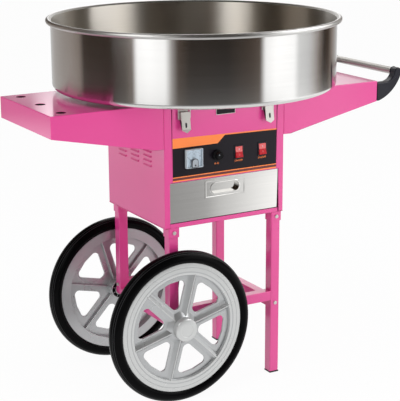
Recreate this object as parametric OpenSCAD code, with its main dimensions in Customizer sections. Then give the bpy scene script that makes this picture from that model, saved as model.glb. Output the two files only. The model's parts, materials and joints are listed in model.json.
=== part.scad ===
// Cotton candy cart: a sugar spinner with a catch bowl on a two-wheeled stand.
// Millimetres, +Z up. The control panel faces -Y, the wheels stand under the
// -X end and the push handle is at the +X end. The origin is on the floor, at
// the middle of the overall length and depth.

/* [Cabinet] */
// Width of the cabinet
cab_w = 334; // [310:1:380]
// Depth of the cabinet
cab_d = 300; // [280:1:340]
// Height of the cabinet
cab_h = 302; // [290:1:340]
// Height of the cabinet's underside above the floor
leg_h = 430; // [400:1:480]
// Thickness of the sheet metal
sheet = 1.5; // [1:0.1:2]
// Front flange beside the control panel
flange = 20.5; // [18:0.5:26]
// Front flange beside the drawer
drawer_flange = 14.5; // [12:0.5:16]
// Height of the sill under the drawer
sill_h = 11; // [8:0.5:16]

/* [Louvres] */
// Louvres side by side
louvre_cols = 3; // [2:1:3]
// Louvres one above another
louvre_rows = 4; // [2:1:5]
// Width of a louvre
louvre_w = 37; // [25:1:50]
// Distance between columns
louvre_pitch_y = 66; // [60:1:75]
// Distance between rows
louvre_pitch_z = 11.7; // [10:0.1:14]
// Top row below the cabinet's top
louvre_drop = 127; // [118:1:140]
// Height of the slot behind a hood
louvre_slot = 4; // [3:0.5:5]
// How far a hood stands out
louvre_hood = 3.5; // [2:0.5:5]

/* [Side shelves] */
// Length of a side shelf
shelf_len = 284; // [220:1:330]
// Height of a shelf's outer end
shelf_end_h = 52; // [45:1:70]
// Height of a shelf's side where it meets the cabinet
shelf_root_h = 107; // [80:1:115]
// Level stretch of a shelf's lower edge beside the cabinet
shelf_flat = 20; // [10:1:60]
// Diameter of a stick hole
stick_hole_d = 24; // [16:1:34]
// Stick holes from the shelf's outer end
stick_hole_inset = 40; // [30:1:80]
// Distance between stick holes
stick_hole_pitch = 117; // [60:1:120]

/* [Bowl] */
// Outside diameter of the bowl's wall
bowl_od = 697; // [600:1:720]
// Height of the bowl
bowl_h = 169; // [150:1:220]
// Thickness of the bowl's sheet
bowl_wall = 1.5; // [1:0.1:2]
// Diameter of the rolled rim
rim_bead = 12; // [8:0.5:16]
// Radius between floor and wall
bowl_corner = 12; // [6:1:45]
// Diameter of the hole in the bowl's floor
bowl_hole_d = 90; // [70:1:110]
// Height of the collar round that hole
bowl_collar_h = 18; // [10:1:24]
// Height of the ring that the bowl sits on
seat_h = 11; // [8:0.5:16]
// Middle diameter of that ring
seat_d = 240; // [200:1:250]
// Width of that ring
seat_w = 20; // [10:1:24]

/* [Stand] */
// Side of the square tube
tube = 25; // [22:0.5:28]
// Wall of the square tube
tube_wall = 1.5; // [1:0.1:2.5]
// Wheel-side legs' middle from the cabinet's side
leg_inset_left = 25; // [20:1:40]
// Handle-side legs' middle from the cabinet's side
leg_inset_right = 18; // [18:1:40]
// Legs' middle from the cabinet's front and back
leg_inset_y = 16; // [16:0.5:30]
// Height of the front and back rails
cross_rail_z = 210; // [200:1:300]
// Height of a leg socket
socket_h = 24; // [20:1:40]
// Wall of a leg socket
socket_wall = 2; // [1.5:0.1:3]
// Thickness of a foot
foot_lip = 4; // [2:0.5:8]
// Depth of a foot's plug in its leg
foot_plug = 20; // [12:1:30]
// Diameter of the frame bolts
bolt_d = 6; // [5:0.5:8]

/* [Wheels] */
// Radius over the tyre
wheel_r = 190; // [170:1:195]
// Width of the tyre
tyre_w = 40; // [34:1:46]
// Radius of the rim under the tyre
rim_r = 162; // [150:1:164]
// Width of the rim
rim_w = 28; // [20:1:32]
// Radial height of the rim's raised ring
rim_ring = 25; // [18:1:30]
// Tyre's middle from a leg's outer face
wheel_offset = 28; // [26:0.5:36]
// Diameter of the axle
axle_d = 12; // [10:0.5:14]
// Diameter of the hub
hub_d = 50; // [44:1:56]
// Hub's outer end from the tyre's middle
hub_out = 17.5; // [15:0.5:22]
// Thickness of the wheel's web
web_t = 5; // [4:0.5:8]
// Height of a spoke's ridge above the web
ridge_h = 8; // [5:0.5:9]
// Width of a spoke's ridge
ridge_w = 22; // [16:1:28]
// Number of spokes
spokes = 6; // [5:1:7]
// Turn of the front wheel at rest
front_turn = 15; // [0:1:60]
// Turn of the back wheel at rest
back_turn = 47; // [0:1:60]
// Inner radius of a window
window_in = 49; // [44:1:60]
// Outer radius of a window
window_out = 118; // [100:1:120]
// Width of the web between two windows
window_gap = 36; // [30:1:44]
// Radius of a window's corners
window_corner = 11; // [6:1:12]
// Diameter of the hub cap
cap_d = 58; // [50:1:60]
// Height of the hub cap
cap_h = 17; // [17:0.5:24]
// Wall of the hub cap
cap_wall = 3; // [2:0.5:4]

/* [Push handle] */
// Diameter of the handle bar
handle_d = 18; // [14:1:20]
// Handle bar's axis from the shelf's end
handle_out = 67; // [60:1:90]
// Handle bar's axis above the shelf's top
handle_rise = 17; // [10:1:24]
// Radius of a bracket's tip
horn_tip_r = 11.5; // [11:0.5:15]
// Thickness of a bracket
horn_t = 22; // [18:1:30]
// Depth of the bar in a bracket
horn_bore = 11; // [8:1:15]

/* [Drawer] */
// Height of the drawer's front
drawer_h = 98; // [90:1:104]
// Drawer's front behind the flanges' face
drawer_inset = 2; // [2:0.5:6]
// Depth of the drawer front's folded edges
drawer_fold = 16; // [15:1:24]
// Depth of the tray
tray_depth = 234; // [150:1:240]
// Height of the tray
tray_h = 72; // [50:1:76]
// Height of the tray's slide lip above its floor
slide_lip_z = 36; // [20:1:44]
// Width of the pull's plate
pull_w = 113; // [90:1:140]
// Height of the pull's plate
pull_h = 44; // [36:1:50]
// Width of the pull's recess
recess_w = 78; // [60:1:85]
// Height of the pull's recess
recess_h = 23; // [18:1:30]
// Depth of the pull's recess
recess_depth = 12; // [8:0.5:12]
// Middle of the pull below the drawer front's upper edge
pull_drop = 27; // [26:1:40]

/* [Controls] */
// Height of the controls above the drawer's opening
control_rise = 55; // [40:1:70]
// Voltmeter's place across the panel
meter_x = -89.5; // [-110:0.5:-80]
// Side of the square voltmeter
meter_w = 45; // [44:1:56]
// Depth of the voltmeter's bezel
meter_t = 9; // [8:0.5:12]
// Knob's place across the panel
knob_x = -25; // [-40:1:-15]
// Diameter of the knob
knob_d = 26; // [20:1:30]
// Height of the knob
knob_h = 16; // [12:1:22]
// Motor switch's place across the panel
motor_switch_x = 37; // [30:1:50]
// Heat switch's place across the panel
heat_switch_x = 104; // [85:1:112]
// Width of a switch's rocker
rocker_w = 20; // [16:0.5:22]
// Height of a switch's rocker
rocker_h = 28; // [24:0.5:30]
// Width of a switch's bezel
bezel_w = 3; // [2.5:0.1:4]
// Tilt of a rocker from its middle
rocker_tilt = 10; // [6:1:12]
// Cable gland's place across the back
gland_x = -100; // [-120:1:-60]
// Cable gland below the cabinet's top
gland_drop = 132; // [100:1:150]
// Diameter of the gland's bore
gland_bore = 8; // [6:0.5:10]

/* [Latches] */
// Latches from the cabinet's middle
latch_x = 116; // [80:1:120]
// Lever pivot below the cabinet's top
latch_drop = 27; // [24:1:40]
// Width of a lever
latch_w = 24; // [16:1:28]
// Length of a lever below its pivot
lever_len = 43; // [36:1:50]
// Lean of a lever's plate, out at its tip
lever_lean = 5; // [0:0.5:8]
// Lever pivot from the cabinet's face
pivot_out = 7; // [7:0.5:9]
// Bail's pivot from the lever's pivot
bail_arm = 10; // [9.5:0.5:12]
// Diameter of the bail's wire
wire_d = 3; // [2.5:0.1:3.2]
// Diameter of the lever's pin
pin_d = 4; // [3:0.1:4.5]
// Width of a bowl hook
hook_w = 16; // [10:1:20]

/* [Drive] */
// Diameter of the spindle
spindle_d = 15; // [12:0.5:17]
// Length of the spindle housing
housing_len = 78; // [60:1:90]
// Diameter of the spindle housing
housing_d = 44; // [42:1:50]
// Outside diameter of a bearing
bearing_d = 32; // [28:1:34]
// Width of a bearing
bearing_w = 9; // [8:0.5:11]
// Radius of the spindle pulley under the belt
pulley_r = 35; // [28:1:36]
// Radius of the motor pulley under the belt
motor_pulley_r = 20; // [16:1:26]
// Width of the belt
belt_w = 10; // [8:0.5:12]
// Thickness of the belt
belt_t = 4; // [3:0.5:5]
// Motor's place across the cabinet
motor_x = 85; // [80:1:95]
// Motor's place towards the back
motor_y = 45; // [40:1:60]
// Diameter of the motor
motor_d = 88; // [70:1:92]
// Diameter of the motor's shaft
motor_shaft_d = 8; // [6:0.5:10]
// Diameter of a slip ring
ring_d = 40; // [34:1:44]
// Height of a slip ring
ring_h = 6; // [4:0.5:8]

/* [Spinner head] */
// Radius of the spinner head
head_r = 75; // [60:1:85]
// Head above the bowl's underside
head_lift = 42; // [36:1:50]
// Height of the mesh band
mesh_h = 38; // [30:1:45]
// Slots in the mesh band
mesh_slots = 30; // [20:2:40]
// Radius of the sugar opening
sugar_r = 34; // [25:1:40]
// Depth of the sugar funnel
funnel_h = 20; // [12:1:24]

/* [Fits] */
// Running clearance round a pin or shaft
run = 0.05; // [0.02:0.01:0.1]
// Gap between parts that pass each other
gap = 0.3; // [0.2:0.05:0.5]
// Seam between neighbouring panels
seam = 1; // [0.6:0.1:1.4]

/* [Hidden] */
$fn = 64;

pink = [0.88, 0.36, 0.6];
steel = [0.72, 0.72, 0.72];
black = [0.1, 0.1, 0.11];
wheel_grey = [0.79, 0.8, 0.8];
case_grey = [0.76, 0.79, 0.82];
red = [0.78, 0.12, 0.12];
copper = [0.72, 0.45, 0.2];

// Cabinet planes
half_w = cab_w / 2;
half_d = cab_d / 2;
cab_top = leg_h + cab_h;
deck_z = cab_top - sheet;
floor_z = leg_h + sheet;
shelf_end = half_w + shelf_len;
overall_mid = (handle_out + horn_tip_r) / 2;
hood_h = 1.6 * louvre_hood;

// Drawer opening
drawer_z = leg_h + sill_h + seam;
opening_top = drawer_z + drawer_h + seam;
opening_half = half_w - drawer_flange;
drawer_y = -half_d + drawer_inset;
tray_y = drawer_y + drawer_fold;
tray_z = drawer_z + 4;
slide_half = opening_half - seam;
slide_lip = 8.5;
tray_half = slide_half - slide_lip;
slide_z = tray_z + slide_lip_z;
pull_z = drawer_z + drawer_h - pull_drop;
control_z = opening_top + control_rise;

// Bowl
bowl_z = cab_top + seat_h;
bowl_r = bowl_od / 2;
rim_r_mid = bowl_r + rim_bead / 2 - 0.5;

// Stand
axle_z = wheel_r;
leg_x_left = half_w - leg_inset_left;
leg_x_right = half_w - leg_inset_right;
leg_y = half_d - leg_inset_y;
leg_face = leg_y + tube / 2;
track = 2 * (leg_face + wheel_offset);
clear = 0.2;
bolt_z = leg_h - socket_h / 2;
head_d = 1.5 * bolt_d;
head_t = 0.5 * bolt_d;
bolt_grip = 8;

// Wheel stack, outwards from the tyre's middle
washer_t = 2;
washer_d = 2.2 * axle_d;
hub_in = washer_t + gap - wheel_offset;
nut_t = 7;
nut_d = 1.7 * axle_d;
axle_out = hub_out + gap + washer_t + nut_t + 1.5;
ring_face = rim_w / 2;
ring_t = 6;
rib_t = 3;
web_z = ring_face - ridge_h - web_t;
rib_h = ridge_h;
cap_round = 6;

// Latch, in a frame on the cabinet's face at the lever's pivot
bail_rest = 8;
bail_y = pivot_out - bail_arm * sin(bail_rest);
bail_z = -bail_arm * cos(bail_rest);
bar_z = latch_drop - 4.5;
plate_y = pivot_out + 3;
base_low = 13;
base_high = 12;
ear_h = 5;
cheek_in = 3.5;
cheek_low = 4;
cheek_top = 6;
tip_h = 9;
tip_bend = 4;
tip_flat = 2;
lever_slot = [5, 12];
ear_in = latch_w / 2 + gap;
ear_out = ear_in + sheet;
wire_x = ear_out + gap + wire_d / 2;

// Push handle: two arcs shape a bracket from the shelf's end to the bar
handle_x = shelf_end + handle_out;
handle_z = cab_top + handle_rise;
horn_low = cab_top - shelf_end_h;
horn_in = [shelf_end + 0.4 * handle_out, handle_z + 0.1 * handle_out];
horn_in_r = norm(horn_in - [handle_x, handle_z]) - horn_tip_r;
horn_out = [shelf_end - 0.3 * handle_out, handle_z + 0.45 * handle_out];
horn_out_r = norm(horn_out - [handle_x + horn_tip_r, handle_z]);

// Controls, outwards from the panel's face
meter_in = meter_w - 5;
meter_glass = 1.5;
dial_out = 3;
needle_z = control_z - meter_w * 0.29;
needle_len = meter_w * 0.5;
needle_out = 5;
needle_pin_d = 2;
needle_t = 1.2;
meter_can = meter_w - 6;
meter_depth = 22;
knob_gap = 3;
knob_shaft_d = 6;
bush_d = 10;
pot_d = 24;
pot_depth = 18;
switch_lip = 1;
switch_cut_w = rocker_w + 2 * (bezel_w - switch_lip);
switch_cut_h = rocker_h + 2 * (bezel_w - switch_lip);
switch_t = 2;
switch_depth = 26;
switch_well = 12;
switch_pin_d = 3;
rocker_out = 4.5;
rocker_dip = 2.6;
rocker_in = 5;
gland_flange = 5;
gland_out = 14;
gland_in = 10;

// Drive heights
housing_z = deck_z - housing_len;
housing_flange = 18;
neck_z = cab_top + 4;
flange_t = 4;
pulley_cheek = 2;
pulley_h = belt_w + 2 * (seam + pulley_cheek);
pulley_drop = 9;
belt_z = housing_z - gap - pulley_h / 2 - pulley_drop;
sleeve_top = belt_z - pulley_h / 2;
sleeve_h = 4 * ring_h + 2;
spindle_z = sleeve_top - sleeve_h - 2;
rings = [sleeve_top - 1.5 * ring_h, sleeve_top - 3.5 * ring_h];
motor_len = housing_len + 2;
motor_z = deck_z - motor_len;
motor_boss = 5;
head_z = bowl_z + head_lift;
pan_t = 2;
pan_hub_h = 12;
mesh_z = head_z + pan_t;
cover_z = mesh_z + mesh_h;
heater_inset = 12;
heater_t = 2;
heater_h = 14;
heater_post = 10;

// General shapes
module box(low, high) {
  translate(low) cube(high - low);
}

module rod_x(d, x0, x1, y, z) {
  translate([x0, y, z]) rotate([0, 90, 0]) cylinder(d = d, h = x1 - x0);
}

module rod_y(d, y0, y1, x, z) {
  translate([x, y0, z]) rotate([-90, 0, 0]) cylinder(d = d, h = y1 - y0);
}

// Extrudes an outline drawn in Y and Z along X, about x = 0
module prism_x(w) {
  rotate([90, 0, 90]) translate([0, 0, -w / 2]) linear_extrude(w) children();
}

// Extrudes an outline drawn in X and Z along Y
module prism_y(y0, y1) {
  translate([0, y1, 0]) rotate([90, 0, 0]) linear_extrude(y1 - y0) children();
}

module both_sides_y() {
  for (side = [0, 1]) mirror([0, side, 0]) children();
}

module both_sides_x() {
  for (side = [0, 1]) mirror([side, 0, 0]) children();
}

module stadium(w, h) {
  square([w - h, h], center = true);
  for (side = [-1, 1]) translate([side * (w - h) / 2, 0]) circle(d = h);
}

module square_ring(outer, wall) {
  difference() {
    square(outer, center = true);
    square(outer - 2 * wall, center = true);
  }
}

// Stand
module leg_holes(x, through_y) {
  rod_y(bolt_d + 2 * clear, -leg_face - 1, -leg_y, x, bolt_z);
  if (through_y) rod_y(bolt_d + 2 * clear, -leg_face - 1, -leg_y + tube, x, axle_z);
  rod_x(bolt_d + 2 * clear, x - tube, x + tube, -leg_y, cross_rail_z);
}

module long_legs() {
  color(pink) both_sides_y() difference() {
    translate([leg_x_right, -leg_y, foot_lip]) linear_extrude(leg_h - foot_lip) square_ring(tube, tube_wall);
    leg_holes(leg_x_right, true);
  }
}

// The wheel-side legs end in a round eye about the axle
module short_legs() {
  inner = tube - 2 * tube_wall;
  color(pink) both_sides_y() difference() {
    union() {
      translate([-leg_x_left, -leg_y, axle_z]) linear_extrude(leg_h - axle_z) square(tube, center = true);
      rod_y(tube, -leg_face, -leg_face + tube, -leg_x_left, axle_z);
    }
    translate([-leg_x_left, -leg_y, axle_z]) linear_extrude(leg_h) square(inner, center = true);
    rod_y(inner, -leg_y - inner / 2, -leg_y + inner / 2, -leg_x_left, axle_z);
    rod_y(axle_d + 2 * clear, -leg_face - 1, -leg_y + tube, -leg_x_left, axle_z);
    leg_holes(-leg_x_left, false);
  }
}

module cross_rails() {
  x0 = -leg_x_left + tube / 2;
  x1 = leg_x_right - tube / 2;
  color(pink) both_sides_y() translate([x0, -leg_y, cross_rail_z]) rotate([0, 90, 0])
    linear_extrude(x1 - x0) square_ring(tube, tube_wall);
}

module side_rails() {
  length = 2 * leg_y - tube;
  color(pink) for (x = [-leg_x_left, leg_x_right])
    translate([x, length / 2, axle_z]) rotate([90, 0, 0]) linear_extrude(length) square_ring(tube, tube_wall);
}

module leg_sockets() {
  outer = tube + 2 * (socket_wall + clear);
  color(pink) both_sides_y() for (x = [-leg_x_left, leg_x_right]) difference() {
    translate([x, -leg_y, leg_h - socket_h]) linear_extrude(socket_h) square_ring(outer, socket_wall);
    rod_y(bolt_d + 2 * clear, -leg_face - outer, -leg_y, x, bolt_z);
  }
}

module foot_caps() {
  plug = tube - 2 * (tube_wall + clear);
  color(black) both_sides_y() translate([leg_x_right, -leg_y, 0]) {
    linear_extrude(foot_lip) square(tube + 2, center = true);
    linear_extrude(foot_lip + foot_plug) square(plug, center = true);
  }
}

// Bolts of the sockets and rails, and the washers and nuts of the axle
module frame_hardware() {
  socket_face = leg_face + clear + socket_wall;
  color(steel) both_sides_y() {
    for (x = [-leg_x_left, leg_x_right]) {
      rod_y(head_d, -socket_face - head_t, -socket_face, x, bolt_z);
      rod_y(bolt_d, -socket_face - 1, -leg_face + bolt_grip, x, bolt_z);
    }
    rod_y(head_d, -leg_face - head_t, -leg_face, leg_x_right, axle_z);
    rod_y(bolt_d, -leg_face - 1, -leg_face + tube + bolt_grip, leg_x_right, axle_z);
    rod_x(head_d, leg_x_right + tube / 2, leg_x_right + tube / 2 + head_t, -leg_y, cross_rail_z);
    rod_x(bolt_d, leg_x_right - tube, leg_x_right + tube / 2 + 1, -leg_y, cross_rail_z);
    rod_x(head_d, -leg_x_left - tube / 2 - head_t, -leg_x_left - tube / 2, -leg_y, cross_rail_z);
    rod_x(bolt_d, -leg_x_left - tube / 2 - 1, -leg_x_left + tube, -leg_y, cross_rail_z);
    at_wheel() {
      inner_washer = hub_in - gap - washer_t;
      outer_washer = hub_out + gap;
      translate([0, 0, inner_washer]) axle_ring(washer_d, washer_t);
      translate([0, 0, outer_washer]) axle_ring(washer_d, washer_t);
      translate([0, 0, outer_washer + washer_t]) axle_ring(nut_d, nut_t);
    }
  }
}

module axle_ring(d, h) {
  difference() {
    cylinder(d = d, h = h);
    translate([0, 0, -1]) cylinder(d = axle_d + 2 * run, h = h + 2);
  }
}

module axle() {
  reach = track / 2 + axle_out;
  color(steel) rod_y(axle_d, -reach, reach, -leg_x_left, axle_z);
}

// Wheels, drawn about their axle with the outer face up
module at_wheel() {
  translate([-leg_x_left, -track / 2, axle_z]) rotate([90, 0, 0]) children();
}

module window() {
  half = 180 / spokes;
  r_in = window_in + window_corner;
  r_out = window_out - window_corner;
  side = window_gap / 2 + window_corner;
  a_in = max(0.1, half - asin(min(1, side / r_in)));
  a_out = half - asin(side / r_out);
  hull() for (p = [[r_in, a_in], [r_in, -a_in], [r_out, a_out], [r_out, 0], [r_out, -a_out]])
    rotate(p[1]) translate([p[0], 0]) circle(window_corner, $fn = 32);
}

module wheel_blank() {
  rotate_extrude() {
    translate([rim_r - rim_ring, -ring_face]) square([rim_ring, rim_w]);
    translate([rim_r - rim_ring - ring_t, web_z]) square([rim_ring, ridge_h + web_t - ring_t / 2]);
    translate([0, web_z]) square([rim_r - rim_ring, web_t]);
    translate([0, hub_in]) square([hub_d / 2, hub_out - hub_in]);
  }
  for (i = [0 : spokes - 1]) rotate(i * 360 / spokes) {
    translate([0, 0, web_z + web_t]) rotate([90, 0, 90]) linear_extrude(rim_r - rim_ring + 1)
      polygon([[-ridge_w / 2, -1], [ridge_w / 2, -1], [ridge_w / 2, 0], [0, ridge_h], [-ridge_w / 2, 0]]);
    translate([0, -rib_t / 2, web_z - rib_h]) cube([rim_r - rim_ring + 1, rib_t, rib_h + 1]);
  }
}

module wheel() {
  difference() {
    wheel_blank();
    for (i = [0 : spokes - 1]) rotate((i + 0.5) * 360 / spokes)
      translate([0, 0, web_z - rib_h - 1]) linear_extrude(rib_h + web_t + ridge_h + 2) window();
    translate([0, 0, hub_in - 1]) cylinder(d = axle_d + 2 * run, h = hub_out - hub_in + 2);
  }
}

module tyre() {
  shoulder = wheel_r - tyre_w / 2;
  rotate_extrude() difference() {
    union() {
      translate([rim_r, -tyre_w / 2]) square([shoulder - rim_r, tyre_w]);
      translate([shoulder, 0]) circle(d = tyre_w);
    }
    translate([0, -tyre_w]) square([rim_r, 2 * tyre_w]);
  }
}

module hub_cap() {
  r = cap_d / 2;
  translate([0, 0, hub_out]) rotate_extrude() difference() {
    union() {
      square([r, cap_h - cap_round]);
      square([r - cap_round, cap_h]);
      translate([r - cap_round, cap_h - cap_round]) circle(cap_round);
    }
    translate([-cap_d, -cap_d]) square([2 * cap_d, cap_d]);
    translate([-cap_d, -cap_d]) square([cap_d, 2 * cap_d]);
    square([r - cap_wall, cap_h - cap_wall]);
  }
}

module front_wheel() { color(wheel_grey) at_wheel() rotate(front_turn) wheel(); }
module front_tyre() { color(black) at_wheel() tyre(); }
module front_hub_cap() { color(wheel_grey) at_wheel() hub_cap(); }
module back_wheel() { color(wheel_grey) mirror([0, 1, 0]) at_wheel() rotate(back_turn) wheel(); }
module back_tyre() { color(black) mirror([0, 1, 0]) at_wheel() tyre(); }
module back_hub_cap() { color(wheel_grey) mirror([0, 1, 0]) at_wheel() hub_cap(); }

// Cabinet
module louvre_places() {
  for (i = [0 : louvre_cols - 1]) for (k = [0 : louvre_rows - 1])
    translate([0, (i - (louvre_cols - 1) / 2) * louvre_pitch_y, cab_top - louvre_drop - k * louvre_pitch_z])
      children();
}

// A pressed hood, open below, with its slot through the wall behind it
module louvre_hood() {
  prism_y(-louvre_w / 2, louvre_w / 2)
    polygon([[half_w - sheet, 0], [half_w + louvre_hood, 0], [half_w, hood_h], [half_w - sheet, hood_h]]);
}

module louvre_slot() {
  lip = max(louvre_hood - sheet, louvre_hood / 2);
  prism_y(sheet - louvre_w / 2, louvre_w / 2 - sheet)
    polygon([[half_w - 2 * sheet, sheet / 2], [half_w, sheet / 2], [half_w + lip / 4, -sheet],
             [half_w + lip, -sheet], [half_w + lip, 0], [half_w - sheet, louvre_slot],
             [half_w - 2 * sheet, louvre_slot]]);
}

module cabinet_shell() {
  height = deck_z - floor_z;
  color(pink) difference() {
    union() {
      translate([0, 0, floor_z]) linear_extrude(height) difference() {
        square([cab_w, cab_d], center = true);
        square([cab_w - 2 * sheet, cab_d - 2 * sheet], center = true);
        translate([-opening_half, -cab_d]) square([2 * opening_half, cab_d]);
      }
      both_sides_x() box([half_w - flange, -half_d, opening_top], [half_w, -half_d + sheet, deck_z]);
      both_sides_x() louvre_places() louvre_hood();
    }
    both_sides_x() louvre_places() louvre_slot();
    rod_y(2 * gland_bore + 2 * clear, half_d - 2 * sheet, half_d + sheet, gland_x, cab_top - gland_drop);
  }
}

module base_plate() {
  color(pink) union() {
    box([-half_w, -half_d, leg_h], [half_w, half_d, floor_z]);
    box([-opening_half + clear, -half_d, leg_h], [opening_half - clear, -half_d + sheet, leg_h + sill_h]);
  }
}

module top_plate() {
  color(pink) difference() {
    box([-half_w, -half_d, deck_z], [half_w, half_d, cab_top]);
    translate([0, 0, deck_z - 1]) cylinder(d = housing_d + 2 * clear, h = sheet + 2);
  }
}

module front_panel() {
  half = half_w - flange - clear;
  color(pink) difference() {
    union() {
      box([-half, -half_d, opening_top + clear], [half, -half_d + sheet, deck_z]);
      box([-half - flange / 2, -half_d + sheet, opening_top + clear],
          [half + flange / 2, -half_d + 2 * sheet, deck_z]);
    }
    rod_y(meter_can, -half_d - 1, -half_d + 4 * sheet, meter_x, control_z);
    rod_y(bush_d, -half_d - 1, -half_d + 4 * sheet, knob_x, control_z);
    for (x = [motor_switch_x, heat_switch_x])
      box([x - switch_cut_w / 2, -half_d - 1, control_z - switch_cut_h / 2],
          [x + switch_cut_w / 2, -half_d + 4 * sheet, control_z + switch_cut_h / 2]);
  }
}

// Side shelves, drawn outwards from the cabinet's right wall
module shelf() {
  translate([half_w, 0, cab_top]) {
    box([0, -half_d, -sheet], [shelf_len, half_d, 0]);
    box([shelf_len - sheet, -half_d, -shelf_end_h], [shelf_len, half_d, 0]);
    box([0, -half_d, -shelf_root_h], [sheet, half_d, 0]);
    both_sides_y() prism_y(-half_d, -half_d + sheet)
      polygon([[0, 0], [shelf_len, 0], [shelf_len, -shelf_end_h], [shelf_flat, -shelf_root_h],
               [0, -shelf_root_h]]);
  }
}

module right_shelf() {
  color(pink) shelf();
}

module left_shelf() {
  color(pink) difference() {
    mirror([1, 0, 0]) shelf();
    for (i = [-1 : 1]) translate([-shelf_end + stick_hole_inset, i * stick_hole_pitch, cab_top - 2 * sheet])
      cylinder(d = stick_hole_d, h = 3 * sheet);
  }
}

// Push handle
module horn_outline() {
  difference() {
    intersection() {
      translate(horn_out) circle(horn_out_r);
      translate([shelf_end, horn_low]) square([handle_out + horn_tip_r, handle_z - horn_low]);
    }
    translate(horn_in) circle(horn_in_r);
    translate([shelf_end - 1, horn_in[1] - horn_in_r]) square([horn_in[0] - shelf_end + 1, horn_in_r]);
  }
  translate([handle_x, handle_z]) circle(horn_tip_r);
}

module handle_brackets() {
  color(black) both_sides_y() difference() {
    prism_y(-half_d, -half_d + horn_t) horn_outline();
    rod_y(handle_d + clear, -half_d + horn_t - horn_bore, -half_d + horn_t + 1, handle_x, handle_z);
  }
}

module handle_bar() {
  reach = half_d - horn_t + horn_bore;
  color(steel) rod_y(handle_d, -reach, reach, handle_x, handle_z);
}

// Drawer
module drawer_front() {
  half = opening_half - seam;
  color(steel) difference() {
    box([-half, drawer_y, drawer_z], [half, tray_y, drawer_z + drawer_h]);
    box([-half + sheet, drawer_y + sheet, drawer_z + sheet],
        [half - sheet, tray_y + 1, drawer_z + drawer_h - sheet]);
    translate([0, 0, pull_z]) prism_y(drawer_y - 1, drawer_y + 2 * sheet)
      stadium(recess_w + 2 * (sheet + clear), recess_h + 2 * (sheet + clear));
  }
}

module drawer_tray() {
  color(steel) union() {
    difference() {
      box([-tray_half, tray_y, tray_z], [tray_half, tray_y + tray_depth, tray_z + tray_h]);
      box([-tray_half + sheet, tray_y + sheet, tray_z + sheet],
          [tray_half - sheet, tray_y + tray_depth - sheet, tray_z + tray_h + 1]);
    }
    both_sides_x() box([tray_half - sheet, tray_y, slide_z],
                       [slide_half, tray_y + tray_depth, slide_z + sheet]);
    both_sides_x() box([tray_half - sheet, tray_y, tray_z + tray_h / 4],
                       [slide_half, tray_y + sheet, slide_z - sheet - 2 * gap]);
  }
}

module drawer_pull() {
  color(steel) difference() {
    union() {
      prism_y(drawer_y - sheet, drawer_y) translate([0, pull_z]) square([pull_w, pull_h], center = true);
      prism_y(drawer_y - sheet, drawer_y - sheet + recess_depth + sheet) translate([0, pull_z])
        stadium(recess_w + 2 * sheet, recess_h + 2 * sheet);
    }
    prism_y(drawer_y - sheet - 1, drawer_y - sheet + recess_depth) translate([0, pull_z])
      stadium(recess_w, recess_h);
  }
}

// Channels on the side walls that hold the tray's lips
module drawer_runners() {
  wall = half_w - sheet;
  inner = slide_half - 2 * sheet;
  y0 = tray_y + gap;
  y1 = tray_y + tray_depth;
  color(steel) both_sides_x() difference() {
    box([inner, y0, slide_z - gap - sheet], [wall, y1, slide_z + 2 * sheet + gap]);
    box([inner - 1, y0 - 1, slide_z - gap], [wall - sheet, y1 + 1, slide_z + sheet + gap]);
  }
}

// Controls
module voltmeter_body() {
  can = meter_can - 2 * clear;
  color(case_grey) difference() {
    union() {
      box([meter_x - meter_w / 2, -half_d - meter_t, control_z - meter_w / 2],
          [meter_x + meter_w / 2, -half_d, control_z + meter_w / 2]);
      rod_y(can, -half_d - 1, -half_d + meter_depth, meter_x, control_z);
    }
    box([meter_x - meter_in / 2, -half_d - meter_t - 1, control_z - meter_in / 2],
        [meter_x + meter_in / 2, -half_d - dial_out, control_z + meter_in / 2]);
  }
  color(steel)
    rod_y(needle_pin_d, -half_d - needle_out - needle_t, -half_d - dial_out + 1, meter_x, needle_z);
}

module voltmeter_lens() {
  color("lightblue") box([meter_x - meter_in / 2, -half_d - meter_t, control_z - meter_in / 2],
      [meter_x + meter_in / 2, -half_d - meter_t + meter_glass, control_z + meter_in / 2]);
}

// The pointer with its balance tail, resting at the scale's left end
module voltmeter_needle() {
  tail = [meter_w / 8, 2.5 * needle_pin_d];
  color(black) difference() {
    translate([meter_x, -half_d - needle_out + needle_t / 2, needle_z]) rotate([90, 45, 0]) {
      cylinder(d = 3 * needle_pin_d, h = needle_t);
      translate([-needle_len, -needle_t / 2, 0]) cube([needle_len, needle_t, needle_t]);
      translate([0, -tail[1] / 2, 0]) cube([tail[0], tail[1], needle_t]);
    }
    rod_y(needle_pin_d + 2 * run, -half_d - meter_t, -half_d, meter_x, needle_z);
  }
}

module heat_control() {
  color(black) difference() {
    union() {
      rod_y(pot_d, -half_d + 2 * sheet, -half_d + 2 * sheet + pot_depth, knob_x, control_z);
      rod_y(bush_d - clear, -half_d - knob_gap + gap, -half_d + 3 * sheet, knob_x, control_z);
      rod_y(1.5 * bush_d, -half_d - knob_gap + gap, -half_d, knob_x, control_z);
    }
    rod_y(knob_shaft_d + 2 * run, -half_d - knob_h, -half_d + pot_depth - 2, knob_x, control_z);
  }
}

module heat_knob() {
  front = -half_d - knob_gap - knob_h;
  color(black) {
    rod_y(knob_d, -half_d - knob_gap - knob_h * 0.35, -half_d - knob_gap, knob_x, control_z);
    rod_y(knob_d - 6, front, -half_d - knob_gap, knob_x, control_z);
    rod_y(knob_shaft_d, front + 1, -half_d + pot_depth - 3, knob_x, control_z);
  }
}

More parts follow.
